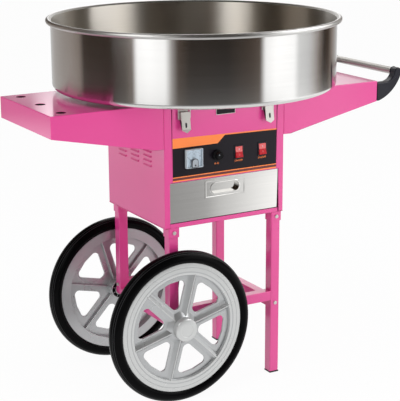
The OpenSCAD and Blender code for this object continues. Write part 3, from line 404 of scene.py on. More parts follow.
def move(bm, place, turnX=0.0, turnZ=0.0):  # first about Z, then about X, then to its place
    matrix = (Matrix.Translation(place) @ Matrix.Rotation(math.radians(turnX), 4, "X")
              @ Matrix.Rotation(math.radians(turnZ), 4, "Z"))
    bmesh.ops.transform(bm, matrix=matrix, verts=bm.verts)
    return bm


def meshFrom(name, bm):
    mesh = bpy.data.meshes.new(name)
    bm.to_mesh(mesh)
    bm.free()
    return mesh


def join(target, extra, finish=None):
    if finish is not None:
        for face in extra.faces:
            face.material_index = finish
    mesh = meshFrom("part", extra)
    target.from_mesh(mesh)
    bpy.data.meshes.remove(mesh)
    return target


def plate(outline, low, high):  # a flat outline in X and Z, as a plate between two depths in Y
    bm = bmesh.new()
    bm.faces.new([bm.verts.new((x, high, z)) for x, z in outline])
    return thicken(bm, (0, low - high, 0))


def rectangle(x0, x1, z0, z1):
    return [(x0, z0), (x1, z0), (x1, z1), (x0, z1)]


def addPiece(name, bm, body, materials, replaced=(), even=True):
    mesh = meshFrom(name, bm)
    if "custom_normal" in mesh.attributes:
        mesh.attributes.remove(mesh.attributes["custom_normal"])
    for material in materials:
        mesh.materials.append(finishes[material])
    mesh.shade_smooth()
    mesh.set_sharp_from_angle(angle=math.radians(meshRules["sharp"]))
    piece = addObject(name, mesh)
    if even:
        piece.modifiers.new("evenNormals", "WEIGHTED_NORMAL").keep_sharp = True
    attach(piece, body)
    if replaced:
        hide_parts(*replaced)
    return piece


def dress(node, finish):
    mesh = nodes[node].data
    mesh.materials.clear()
    mesh.materials.append(finishes[finish])


# sheet, tube and moulded parts, softened at their edges: fold and rim in millimetres, and any finish but pink
softParts = {
    "long_legs": (2.2, 0.4), "short_legs": (2.2, 0.4), "cross_rails": (2.2, 0.4),
    "side_rails": (2.2, 0.4), "leg_sockets": (2.2, 0.5), "cabinet_shell": (1.6, 0.4),
    "base_plate": (0.7, 0.4), "top_plate": (0.7, 0.4), "front_panel": (0.5, 0.3),
    "left_shelf": (2.0, 0.5), "right_shelf": (2.0, 0.5),
    "drawer_front": (0.7, 0.4, "sheetSteel"), "drawer_tray": (1.0, 0.4, "sheetSteel"),
    "drawer_runners": (0.6, 0.3, "nickel"), "foot_caps": (1.5, 0.5, "black"),
    "voltmeter_body": (0.8, 0.3, "meterCase"), "switch_housings": (0.7, 0.3, "black"),
    "latch_bases": (0.5, 0.3, "nickel"), "brush_holder": (0.5, 0.3, "black"),
    "spinner_pan": (0.5, 0.3, "turned"), "spinner_cover": (0.5, 0.3, "turned"),
}
closeFits = {"front_panel": 0.9, "drawer_front": 0.6}  # sheets drawn out to a hairline seam on both sides
seamBand = 4  # how far in from its side edge a sheet is drawn out
for node, (fold, rim, *finish) in softParts.items():
    soft = softEdges(cadCopy(node), fold, rim)
    low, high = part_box(node)
    for vert in soft.verts:
        if node in closeFits and min(vert.co.x - low.x, high.x - vert.co.x) < seamBand * mm:
            vert.co.x += math.copysign(closeFits[node] * mm, vert.co.x - (low.x + high.x) / 2)
    addPiece(node + "_soft", soft, bodyOf[node], finish or ["pink"], [node])
plainParts = {
    "frame_hardware": "nickel", "axle": "nickel", "handle_bar": "barSteel", "voltmeter_needle": "archGrey",
    "heat_control": "black", "cable_gland": "black", "bowl_gasket": "rubber", "spinner_mesh": "turned",
    "heating_element": "heater", "spindle": "nickel", "spindle_pulley": "turned", "slip_rings": "copper",
    "spindle_housing": "iron", "spindle_bearings": "nickel", "motor": "motorPaint", "motor_shaft": "nickel",
    "motor_pulley": "turned", "drive_belt": "rubber",
}
for node, finish in plainParts.items():
    dress(node, finish)
print("sheet and tube parts softened")

# dark sleeves in the stick holes: painted shade inside the holes
holeShade = {"outer": 11.9, "inner": 11.6, "sunk": 0.4, "deep": 16, "holes": (-117, 0, 117), "fromEnd": 40}
shadeSleeve = rectangle(holeShade["inner"], holeShade["outer"], -holeShade["sunk"], -holeShade["deep"])
shelfLow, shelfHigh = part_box("left_shelf")
holeShades = bmesh.new()
for y in holeShade["holes"]:
    ring = turned(inMm(shadeSleeve), 40, closed=True)
    join(holeShades, move(ring, (shelfLow.x + holeShade["fromEnd"] * mm, y * mm, shelfHigh.z)))
addPiece("hole_painted_shade", holeShades, "cart", ["knobBlackAndHoleShade"], even=False)

# handle brackets: moulded horns with full rounds
horn = {"fold": 3.2, "rim": 0.6, "segments": 4, "shortToo": True}
brackets = softEdges(cadCopy("handle_brackets"), **horn)
addPiece("handle_horns", brackets, "cart", ["black"], ["handle_brackets"])

# latches: the pivot's place is from the cabinet's middle and the floor
latch = {"fold": 0.8, "rim": 0.3, "slotShade": (8, 15), "slotShadeThick": 0.8, "slotShadeAt": 6.9, "slotDrop": 25, "lean": 7.1,
         "pivotOut": 157, "pivotHigh": 705}
slotShadeWide, slotShadeTall = (size / 2 * mm for size in latch["slotShade"])
slotShadeHalf = latch["slotShadeThick"] / 2
for corner in ("fl", "fr", "bl", "br"):
    node = "latch_lever_" + corner
    lever = softEdges(cadCopy(node), latch["fold"], latch["rim"])
    side = -1 if corner[0] == "f" else 1
    slotShade = plate(rectangle(-slotShadeWide, slotShadeWide, -slotShadeTall, slotShadeTall), -slotShadeHalf * mm, slotShadeHalf * mm)
    slotShadeAt = (middle(node).x, side * (latch["pivotOut"] + latch["slotShadeAt"] - slotShadeHalf) * mm,
             (latch["pivotHigh"] - latch["slotDrop"]) * mm)
    join(lever, move(slotShade, slotShadeAt, side * latch["lean"]), 1)  # dark plate behind the slot: painted shade seen through the slot
    addPiece("lever_plate_" + corner, lever, "lever_" + corner, ["nickel", "inkAndShade"], [node])
    dress("latch_bail_" + corner, "nickel")
print("latches and handle done")

# bowl: spun wall and floor with a rolled rim
bowl = {"wall": 1.5, "corner": 12, "bead": 12, "tuck": 0.5, "hole": 45, "steps": 192, "cornerSteps": 14,
        "beadSpan": (205, 515), "beadSteps": 26, "seamRise": 1.5, "solidsReach": 200,
        "inward": 0.2, "beadShadeInward": 0.25}


def makeBowl():
    low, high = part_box("bowl")
    top = high.z
    beadR = bowl["bead"] / 2 * mm
    outer = (high.x - low.x) / 2
    beadMid = (outer - beadR, top - beadR)
    wall = beadMid[0] - beadR + bowl["tuck"] * mm
    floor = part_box("bowl_gasket")[1].z
    thick = bowl["wall"] * mm
    corner = bowl["corner"] * mm
    hole = bowl["hole"] * mm
    cornerMid = (wall - corner, floor + corner)
    profile = [(hole, floor), (wall - corner, floor)]
    profile += arc(cornerMid, corner, -90, 0, bowl["cornerSteps"])[1:]
    profile += arc(beadMid, beadR, *bowl["beadSpan"], bowl["beadSteps"])
    profile += [(wall - thick, top - beadR + bowl["seamRise"] * mm), (wall - thick, floor + corner)]
    profile += arc(cornerMid, corner - thick, 0, -90, bowl["cornerSteps"])[1:]
    profile += [(hole, floor + thick)]
    shell = move(turned(profile, bowl["steps"], closed=True), (bowlMid.x, bowlMid.y, 0))
    shell.normal_update()
    for face in shell.faces:
        at = face.calc_center_median()
        out = at.xy - bowlMid.xy
        facing = face.normal.xy.dot(out)
        inward = facing < -bowl["inward"] * out.length or face.normal.z > bowl["inward"]
        if out.length > wall - thick and at.z > top - 2.1 * beadR:
            # inward faces of the bead take the dark steel as painted shade
            face.material_index = 3 if facing < -bowl["beadShadeInward"] * out.length else 2
        elif inward and out.length < wall - 0.6 * thick:
            face.material_index = 1
    small = cadCopy("bowl")  # the hooks and collar are the small solids of the node
    big = [v for v in small.verts if (v.co.xy - bowlMid.xy).length > bowl["solidsReach"] * mm]
    seen = set(big)
    while big:
        for edge in big.pop().link_edges:
            for other in edge.verts:
                if other not in seen:
                    seen.add(other)
                    big.append(other)
    bmesh.ops.delete(small, geom=list(seen), context="VERTS")
    softEdges(small, 0.5, 0.3)
    return join(shell, small)


bowlFinishes = ["bowlSteel", "bowlInside", "bowlRim", "rimPaintedShade"]
addPiece("bowl_spun", makeBowl(), "cart", bowlFinishes, ["bowl"], even=False)
print("bowl done")

# wheels
wheel = {"spokes": 6, "fold": 1.2, "rim": 0.5, "lipWide": 2.4, "lipHigh": 1.6, "lipRound": 0.5, "ringIn": 133,
         "ringOut": 161.6, "groove": 140, "line": 151, "collarFoot": 41, "collarTop": 27.5, "collarIn": 20,
         "lineWide": 2.6, "lineHigh": 1.5, "lineDeep": 3, "lineRound": 0.6, "webTop": 6, "ridge": 8,
         "face": 14, "steps": 72}
window = {"half": 18, "reach": 118.1, "sag": 0.1252, "round": 17, "steps": 7}  # half is half of a spoke's web
tyre = {"radius": 190, "round": 20, "bead": 162, "beadLine": ((0, 13.5), (0.6, 15.2), (2.2, 17.5)),
        "grooves": (47, 62), "grooveHalf": 1.6, "cut": 0.9, "steps": 144}
turns = {"front": 15, "back": 47}
ways = {"front": 1, "back": -1}  # the back wheel is seen from behind


def windowLip():  # a raised lip round a window
    offset = window["half"] - wheel["lipWide"]
    half = math.pi / wheel["spokes"]
    reach = window["reach"]
    tip = offset / math.sin(half)
    slope = math.tan(half)
    drop = offset / math.cos(half)
    cornerX = (reach + window["sag"] * drop) / (1 + window["sag"] * slope)
    cornerY = slope * cornerX - drop
    bm = bmesh.new()
    points = [(tip, 0), (cornerX, -cornerY), (reach, 0), (cornerX, cornerY)]
    verts = [bm.verts.new((x, y, 0)) for x, y in inMm(points)]
    bm.faces.new(verts)
    roundOff(bm, [verts[0], verts[1], verts[3]], window["round"] * mm, window["steps"], "VERTICES")
    face = bm.faces[:][0]
    bmesh.ops.inset_region(bm, faces=[face], thickness=wheel["lipWide"] * mm, use_even_offset=True)
    bmesh.ops.delete(bm, geom=[face], context="FACES")
    thicken(bm, (0, 0, wheel["lipHigh"] * mm))
    sharpEdges = [e for e in bm.edges if len(e.link_faces) == 2 and e.calc_face_angle() > 1 and
                  min(v.co.z for v in e.verts) > wheel["lipHigh"] / 2 * mm]
    roundOff(bm, sharpEdges, wheel["lipRound"] * mm, 2)
    return bm


def ridgeLine(top):  # thin raised line along a spoke's ridge, which takes the brighter ring finish as a painted highlight
    low, high = wheel["collarTop"] + 1, wheel["ringIn"] + 1
    size = ((high - low) * mm, wheel["lineWide"] * mm, wheel["lineDeep"] * mm)
    bm = block(size, ((high + low) / 2 * mm, 0, top + wheel["lineHigh"] * mm - size[2] / 2))
    upper = [e for e in bm.edges if min(v.co.z for v in e.verts) > top
             and abs(e.verts[0].co.y - e.verts[1].co.y) < meshRules["weld"]]
    roundOff(bm, upper, wheel["lineRound"] * mm, 2)
    return bm


def makeWheel(side, hub):
    way = ways[side]
    outward = 90 * way
    whole = softEdges(cadCopy(side + "_wheel"), wheel["fold"], wheel["rim"], shortToo=True)
    webTop = wheel["webTop"] * mm  # web face above the tyre's middle plane
    apart = 360 / wheel["spokes"]
    for i in range(wheel["spokes"]):
        lip = move(windowLip(), (0, 0, webTop - 0.2 * mm), 0, way * (turns[side] + (i + 0.5) * apart))
        join(whole, move(lip, hub, outward))
        line = ridgeLine(webTop + wheel["ridge"] * mm)
        move(line, (0, 0, 0), 0, way * (turns[side] + i * apart))
        # the ridge line takes the brighter finish as a painted highlight
        join(whole, move(line, hub, outward), 1)
    face = wheel["face"] * mm
    edge, end, groove, line = wheel["ringIn"], wheel["ringOut"], wheel["groove"], wheel["line"]
    ring = [(edge, -8.5), (edge, -0.6), (edge + 1.2, 0.2), (groove - 1.4, 0.2), (groove - 1.0, -2.0),
            (groove + 1.0, -2.0), (groove + 1.4, 0.6), (line - 0.9, 0.6), (line - 0.5, -0.2),
            (line + 0.5, -0.2), (line + 0.9, 0.6), (end - 1.2, 0.6), (end, -0.2), (end, -3.0)]
    ring = turned([(r, h + face) for r, h in inMm(ring)], tyre["steps"], closed=True)
    join(whole, move(ring, hub, outward), 1)
    foot, crest, bore = wheel["collarFoot"], wheel["collarTop"], wheel["collarIn"]
    collar = [(foot, 5), (foot, 6.2), (foot - 2, 7.2), (crest + 1.5, 16.2), (crest, 17.2), (bore, 17.2),
              (bore, 5)]
    join(whole, move(turned(inMm(collar), wheel["steps"], closed=True), hub, outward))
    addPiece(side + "_wheel_moulding", whole, side + "_wheel", ["wheelGrey", "wheelRingAndRidgeHighlight"],
             [side + "_wheel"])


def makeTyre(side, hub):
    mid, bulge = tyre["radius"] - tyre["round"], tyre["round"]
    bead = [(tyre["bead"] + out, z) for out, z in tyre["beadLine"]]
    profile = [(r, -z) for r, z in bead]
    for a in range(-90, 91, 3):
        near = min(abs(abs(a) - 90 + groove) for groove in tyre["grooves"])
        depth = tyre["cut"] if near < tyre["grooveHalf"] else 0.0
        rad = math.radians(a)
        profile.append((mid + (bulge - depth) * math.cos(rad), (bulge - depth) * math.sin(rad)))
    profile += bead[::-1]
    bm = turned(inMm(profile), tyre["steps"], closed=True)
    for face in bm.faces:
        at = face.calc_center_median()
        sunk = math.hypot(at.xy.length - mid * mm, at.z) < (bulge - 0.3) * mm
        face.material_index = int(sunk and at.xy.length > mid * mm)
    move(bm, hub, 90 * ways[side])
    addPiece(side + "_tyre_round", bm, side + "_wheel", ["tyre", "tyreGroove"],
             [side + "_tyre"], even=False)


hubCap = {"radius": 29.0, "low": 17.4, "high": 34.4, "bevel": 4.5, "dish": 17.0, "wall": 2.5, "roof": 2.4}
hubCore = {"outer": 22.6, "eye": 14.5, "low": -26.5, "thick": 1.2, "ribs": 9, "rib": (1.0, 1.2)}


def makeHub(side, hub):
    outward = 90 * ways[side]
    r, low, high, bevel = hubCap["radius"], hubCap["low"], hubCap["high"], hubCap["bevel"]
    inner = r - hubCap["wall"]
    roof = high - hubCap["roof"]
    profile = [(0, roof), (inner - bevel, roof), (inner, high - bevel - 1), (inner, low), (r, low)]
    profile += arc((r - bevel, high - bevel), bevel, 0, 72, 5)
    profile += [(hubCap["dish"], high), (hubCap["dish"] - 0.6, high - 0.5), (0, high - 0.3)]
    cap = turned(inMm(profile), wheel["steps"])
    addPiece(side + "_cap_dome", move(cap, hub, outward), side + "_wheel", ["wheelRingAndRidgeHighlight"],
             [side + "_hub_cap"], even=False)
    outer, eye, low = hubCore["outer"], hubCore["eye"], hubCore["low"]
    high = low + hubCore["thick"]
    profile = ((eye, low), (outer - 0.5, low), (outer, low + 0.5), (outer, high), (eye, high))
    core = turned(inMm(profile), wheel["steps"], closed=True)
    ribWide, ribHigh = hubCore["rib"]
    for i in range(hubCore["ribs"]):
        size = ((outer - eye - 1) * mm, ribWide * mm, ribHigh * mm)
        rib = block(size, ((outer + eye) / 2 * mm, 0, low * mm))
        join(core, move(rib, (0, 0, 0), 0, i * 360 / hubCore["ribs"]), 1)
    addPiece(side + "_hub_core", move(core, hub, outward), side + "_wheel",
             ["tyre", "wheelGrey"])


for side in ("front", "back"):
    hub = middle(side + "_tyre")
    makeWheel(side, hub)
    makeTyre(side, hub)
    makeHub(side, hub)
print("wheels done")

# control panel overlay: black film with an orange band and stripes, in millimetres from the cabinet's middle
overlay = {"left": -145, "right": 145.5, "bandLow": 624, "bandTop": 648, "stripe": 3.0, "stripeTop": 642.5,
           "slantFrom": -22, "slantTo": -2, "low": 554.5, "thick": 0.3,
           "lines": ((552.2, 554.5, 1), (546.4, 552.2, 2), (543.2, 546.4, 1)),
           "holes": {"motor_rocker": 1.2, "heat_rocker": 1.2, "heat_control": -4.0, "voltmeter_needle": 0}}
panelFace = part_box("front_panel")[0].y


def filmPlate(points, layer, holes=()):  # a flat film on the panel's face, with square holes
    bm = bmesh.new()
    bm.faces.new([bm.verts.new((bowlMid.x + x * mm, panelFace, z * mm)) for x, z in points])
    for x0, x1, z0, z1 in holes:
        for x in (x0, x1):
            cutAcross(bm, (x, 0, 0), (1, 0, 0))
        for z in (z0, z1):
            cutAcross(bm, (0, 0, z), (0, 0, 1))
    gone = []
    for face in bm.faces:
        at = face.calc_center_median()
        if any(x0 < at.x < x1 and z0 < at.z < z1 for x0, x1, z0, z1 in holes):
            gone.append(face)
    bmesh.ops.delete(bm, geom=gone, context="FACES")
    depth = overlay["thick"] * mm * (0.7 + 0.3 * layer)  # the upper layer stands a little proud
    return thicken(bm, (0, -depth, 0))


def makeOverlay():
    left, right, top, stripe = (overlay[key] for key in ("left", "right", "stripeTop", "stripe"))
    holes = []
    for node, grow in overlay["holes"].items():
        low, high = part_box(node)
        grow *= mm
        holes.append((low.x - grow, high.x + grow, low.z - grow, high.z + grow))
    field = filmPlate(rectangle(left, right, overlay["low"], top), 0, holes)
    share = (overlay["slantTo"] - left) / (right - left)
    slantTop = overlay["bandTop"] + share * (top - overlay["bandTop"]) - stripe
    bandLow = overlay["bandLow"]
    band = [(left, bandLow), (overlay["slantFrom"], bandLow), (overlay["slantTo"], slantTop),
            (right, top - stripe), (right, top), (left, overlay["bandTop"])]
    join(field, filmPlate(band, 1), 1)
    for low, high, finish in overlay["lines"]:
        join(field, filmPlate(rectangle(left, right, low, high), 1), finish)
    return field


addPiece("panel_overlay", makeOverlay(), "cart", ["filmBlack", "filmOrange", "filmBrown"],
         even=False)

# plain switch and knob labels
labels = {"size": 6.4, "thick": 0.3, "drop": 21}


def wordMesh(words, size, thick):  # letters as a closed mesh, upright on a face that looks to the front
    curve = bpy.data.curves.new("words", "FONT")
    curve.body = words
    curve.size = size * mm
    curve.extrude = thick / 2 * mm
    curve.resolution_u = 3
    curve.align_x = curve.align_y = "CENTER"
    holder = addObject("words", curve)
    mesh = bpy.data.meshes.new_from_object(holder.evaluated_get(bpy.context.evaluated_depsgraph_get()))
    bm = welded(mesh)
    bpy.data.meshes.remove(mesh)
    bpy.data.objects.remove(holder)
    bpy.data.curves.remove(curve)
    return bm


labelBm = bmesh.new()
for node, words in (("heat_knob", "0-10"), ("motor_rocker", "ON/OFF"), ("heat_rocker", "ON/OFF")):
    at = middle(node)
    spot = (at.x, panelFace - overlay["thick"] * mm, at.z - labels["drop"] * mm)
    join(labelBm, move(wordMesh(words, labels["size"], labels["thick"]), spot, 90))
addPiece("panel_labels", labelBm, "cart", ["filmOrange"], even=False)

# blank badge
badge = {"wide": 53, "high": 20, "z": 703, "thick": 1.6, "frame": 1.6, "sunk": 0.5}
badgeWide, badgeHigh = badge["wide"] / 2 * mm, badge["high"] / 2
badgeAt = rectangle(bowlMid.x - badgeWide, bowlMid.x + badgeWide, (badge["z"] - badgeHigh) * mm,
                    (badge["z"] + badgeHigh) * mm)
badgeBm = plate(badgeAt, panelFace - badge["thick"] * mm, panelFace)
front = min(badgeBm.faces, key=lambda f: f.calc_center_median().y)
bmesh.ops.inset_region(badgeBm, faces=[front], thickness=badge["frame"] * mm, depth=-badge["sunk"] * mm)
front.material_index = 1
addPiece("badge_blank", softEdges(badgeBm, 0.3, 0.2), "cart", ["nickel", "filmBlack"])
print("panel done")

# drawer pull: pressed plate with a raised border
pull = {"fold": 0.6, "rim": 0.4, "border": 3.2, "sunk": 0.8, "flat": 1e-5}
pullBm = cadCopy("drawer_pull")
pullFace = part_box("drawer_pull")[0].y
pullFront = [f for f in pullBm.faces if abs(f.calc_center_median().y - pullFace) < pull["flat"]]
bmesh.ops.inset_region(pullBm, faces=pullFront, thickness=pull["border"] * mm, use_even_offset=True)
bmesh.ops.inset_region(pullBm, faces=pullFront, thickness=pull["sunk"] * mm, depth=-pull["sunk"] * mm,
                       use_even_offset=True)
softEdges(pullBm, pull["fold"], pull["rim"], shortToo=True)
addPiece("pull_plate", pullBm, "drawer", ["sheetSteel"], ["drawer_pull"])

# knob
knob = {"skirt": 13, "skirtHigh": 5, "grip": 10, "gripTop": 9, "high": 16, "flutes": 18, "fluteDeep": 0.035,
        "gap": 3, "shaft": 3, "shaftLow": -9, "mark": (1.2, 6, 0.5), "markAt": 5.2, "turn": 40}
knobAt = middle("heat_knob")
knobAt.y = panelFace - knob["gap"] * mm
skirt, skirtHigh, knobHigh = knob["skirt"], knob["skirtHigh"], knob["high"]
grip, gripTop = knob["grip"], knob["gripTop"]
knobLine = ((0, 0), (skirt - 0.4, 0), (skirt, 0.4), (skirt, skirtHigh - 2), (skirt - 1.2, skirtHigh - 0.4),
            (grip + 0.6, skirtHigh), (grip, skirtHigh + 0.8), (gripTop + 0.2, knobHigh - 1),
            (gripTop - 0.8, knobHigh), (0, knobHigh - 0.4))
knobBm = turned(inMm(knobLine), knob["flutes"] * 6)
for vert in knobBm.verts:  # shallow finger flutes round the grip
    if skirtHigh * mm < vert.co.z < (knobHigh - 0.5) * mm and vert.co.xy.length > 5 * mm:
        wave = math.cos(knob["flutes"] * math.atan2(vert.co.y, vert.co.x))
        vert.co.xy *= 1 + knob["fluteDeep"] * wave
markSize = [size * mm for size in knob["mark"]]
join(knobBm, block(markSize, (0, knob["markAt"] * mm, (knobHigh - 0.35) * mm)), 1)
shaft = ((0, knob["shaftLow"]), (knob["shaft"], knob["shaftLow"]), (knob["shaft"], 1), (0, 1))
join(knobBm, turned(inMm(shaft), 24), 0)
addPiece("knob_fluted", move(knobBm, knobAt, 90, knob["turn"]), "knob",
         ["knobBlackAndHoleShade", "archGrey"], ["heat_knob"], even=False)

# rockers
rockerLook = {"fold": 0.8, "rim": 0.4, "highlightFrom": 0.5, "bar": (1.1, 4), "ring": (1.2, 2.1), "proud": 0.15,
              "sunk": 0.1}
for node, body in (("motor_rocker", "rocker_motor"), ("heat_rocker", "rocker_heat")):
    rocker = softEdges(cadCopy(node), rockerLook["fold"], rockerLook["rim"])
    highlightFrom = middle(node).z + rockerLook["highlightFrom"] * mm  # the upper half takes the lighter red as a painted highlight, for light falling from above
    for face in rocker.faces:
        face.material_index = int(face.calc_center_median().z > highlightFrom)
    rocker.normal_update()
    for upper in (True, False):  # a bar on the upper half, a ring on the lower one; the pale bar is a switch mark that also gives a painted highlight spot
        facets = [f for f in rocker.faces if f.normal.y < -0.5 and (f.material_index == 1) == upper]
        facet = max(facets, key=lambda f: f.calc_area())
        spot, lean = facet.calc_center_median(), math.degrees(math.atan2(facet.normal.z, -facet.normal.y))
        if upper:
            wide, tall = (size / 2 * mm for size in rockerLook["bar"])
            bar = rectangle(-wide, wide, -tall, tall)
            bar = plate(bar, -rockerLook["proud"] * mm, rockerLook["sunk"] * mm)
            join(rocker, move(bar, spot, -lean), 2)
        else:
            ring = rectangle(*rockerLook["ring"], -rockerLook["sunk"], rockerLook["proud"])
            join(rocker, move(turned(inMm(ring), 24, closed=True), spot, 90 - lean), 1)
    addPiece(node + "_lens", rocker, body, ["red", "redPaintedHighlight", "dial"], [node])

# voltmeter: clear cover, dial card with its scale, adjusting boss
meter = {"side": 45, "round": 1.2, "coverThick": 1.8, "coverOut": 0.4, "cardDepth": 3.4, "cardThick": 0.3,
         "border": 2.6, "ticks": 11, "every": 5, "tickAt": 27, "tickLong": (2.6, 4.5), "tick": (0.2, 0.5),
         "numberAt": 23.5, "numberSize": 3.4, "step": 30, "unitAt": 14, "unitSize": 5.5, "pivotDrop": 0.29}
meterAt = middle("voltmeter_lens")
half = meter["side"] / 2 * mm
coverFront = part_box("voltmeter_lens")[0].y - meter["coverOut"] * mm


def meterSquare(reach):
    return rectangle(meterAt.x - reach, meterAt.x + reach, meterAt.z - reach, meterAt.z + reach)


cover = plate(meterSquare(half), coverFront, coverFront + meter["coverThick"] * mm)
softEdges(cover, meter["round"], 0.4)
addPiece("meter_cover", cover, "cart", ["clear"], ["voltmeter_lens"])


def makeDial():
    cardFace = panelFace - meter["cardDepth"] * mm
    card = plate(meterSquare(half - meter["border"] * mm), cardFace, cardFace + meter["cardThick"] * mm)
    pivot = Vector((meterAt.x, 0, meterAt.z - meter["side"] * meter["pivotDrop"] * mm))
    thick = meter["cardThick"]
    for i in range(meter["ticks"]):
        angle = math.radians(135 - 90 * i / (meter["ticks"] - 1))
        numbered = i % meter["every"] == 0
        long = meter["tickLong"][numbered]
        tickSize = [size * mm for size in (long, *meter["tick"])]
        tick = block(tickSize, ((meter["tickAt"] + long / 2) * mm, 0, 0))
        spot = Matrix.Translation((pivot.x, cardFace, pivot.z)) @ Matrix.Rotation(-angle, 4, "Y")
        bmesh.ops.transform(tick, matrix=spot, verts=tick.verts)
        join(card, tick, 1)
        if numbered:
            across, up = (meter["numberAt"] * part * mm for part in (math.cos(angle), math.sin(angle)))
            number = wordMesh(str(meter["step"] * i), meter["numberSize"], thick)
            join(card, move(number, (pivot.x + across, cardFace, pivot.z + up), 90), 1)
    unitAt = (pivot.x, cardFace, pivot.z + meter["unitAt"] * mm)
    join(card, move(wordMesh("V", meter["unitSize"], thick), unitAt, 90), 1)
    return card


addPiece("meter_dial", makeDial(), "cart", ["dial", "inkAndShade"], even=False)
# arch over the adjusting screw: a dark edge painted as a shadow gap, a grey face, and the screw
arch = {"wide": 18, "high": 22, "foot": 1.0, "edge": 1.6, "thick": 1.2, "proud": 0.5, "seat": 0.4,
        "screw": 2.1, "screwUp": 5.5}


def archPlate(inset, front):
    r = arch["wide"] / 2 - inset
    foot = -meter["side"] / 2 + arch["foot"] + inset
    crown = -meter["side"] / 2 + arch["foot"] + arch["high"] - arch["wide"] / 2
    outline = [(-r, foot), (r, foot)] + arc((0, crown), r, 0, 180, 18)
    outline = [(meterAt.x + x * mm, meterAt.z + z * mm) for x, z in outline]
    return plate(outline, coverFront - front * mm, coverFront + arch["seat"] * mm)


# the outer plate takes the dark ink, a painted shadow round the raised grey face
bossBm = join(archPlate(0, arch["thick"]), archPlate(arch["edge"], arch["thick"] + arch["proud"]), 1)
bossBm = softEdges(bossBm, 0.3, 0.2)
pinR = arch["screw"]
pin = ((0, 0), (pinR, 0), (pinR, 0.9), (pinR - 0.6, 1.4), (0.5, 1.5), (0.5, 1.1), (0, 1.1))
pin = turned(inMm(pin), 24)
pinAt = (meterAt.x, coverFront - (arch["thick"] + 0.3) * mm,
         meterAt.z - half + (arch["foot"] + arch["screwUp"]) * mm)
join(bossBm, move(pin, pinAt, 90), 0)
addPiece("meter_boss", bossBm, "cart", ["inkAndShade", "archGrey"], even=False)
print("controls done")

# screw heads over the CAD's plain heads
screw = {"radius": 4.7, "high": 3.3, "slotWide": 2.2, "slotLong": 6.2, "slotDeep": 1.5, "tubeHalf": 12.5}


def screwHead(place, turnX, sideways=0):
    r, h = screw["radius"], screw["high"]
    head = turned(inMm(((0, -0.4), (r, -0.4), (r, h * 0.45), (r * 0.86, h * 0.8), (r * 0.72, h), (0, h))), 36)
    wide, long = screw["slotWide"] / 2 * mm, screw["slotLong"] / 2 * mm
    for cut in (wide, -wide, long, -long):
        for normal in ((1, 0, 0), (0, 1, 0)):
            cutAcross(head, (cut, cut, 0), normal)
    slot = []
    for face in head.faces:
        at = face.calc_center_median()
        near, far = sorted((abs(at.x), abs(at.y)))
        if at.z > (h - 0.05) * mm and near < wide and far < long:
            slot.append(face)
    sunk = bmesh.ops.extrude_face_region(head, geom=slot)["geom"]
    bmesh.ops.translate(head, vec=(0, 0, -screw["slotDeep"] * mm), verts=vertsOf(sunk))
    # the slot's sunk faces take the dark ink: painted shade in the recess
    for face in facesOf(sunk):
        face.material_index = 1
    bmesh.ops.delete(head, geom=[face for face in slot if face.is_valid], context="FACES_ONLY")
    bmesh.ops.recalc_face_normals(head, faces=head.faces)
    if sideways:
        bmesh.ops.rotate(head, cent=(0, 0, 0), matrix=Matrix.Rotation(math.radians(90 * sideways), 3, "Y"),
                         verts=head.verts)
    return move(head, place, turnX)


def makeScrews():
    whole = bmesh.new()
    left, right = middle("short_legs").x, middle("long_legs").x
    legLow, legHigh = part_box("long_legs")
    socketLow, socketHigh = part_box("leg_sockets")
    boltZ, railZ, axleZ = (middle(node).z for node in ("leg_sockets", "cross_rails", "axle"))
    rows = [(x, socketLow.y, socketHigh.y, boltZ) for x in (left, right)]
    for x, front, back, z in rows + [(right, legLow.y, legHigh.y, axleZ)]:
        join(whole, screwHead((x, front, z), 90))
        join(whole, screwHead((x, back, z), -90))
    tube = screw["tubeHalf"] * mm
    for y in (legLow.y + tube, legHigh.y - tube):
        join(whole, screwHead((right + tube, y, railZ), 0, sideways=1))
        join(whole, screwHead((left - tube, y, railZ), 0, sideways=-1))
    return whole


addPiece("frame_screws", makeScrews(), "cart", ["nickel", "inkAndShade"], even=False)
print("screws done")

# studio: pale floor, soft lamps, and the bright and dark boards that the steel shows
studio = {"floor": 44.0, "glow": 0.95, "wall": 1.25, "wallHigh": 2.5, "fill": 0.6, "cameraAt": -119.85,
          "ceiling": (0.045, 0.032, 0.023), "rowBlend": 0.1, "brownTo": 0.6, "brown": (0.32, 0.52)}
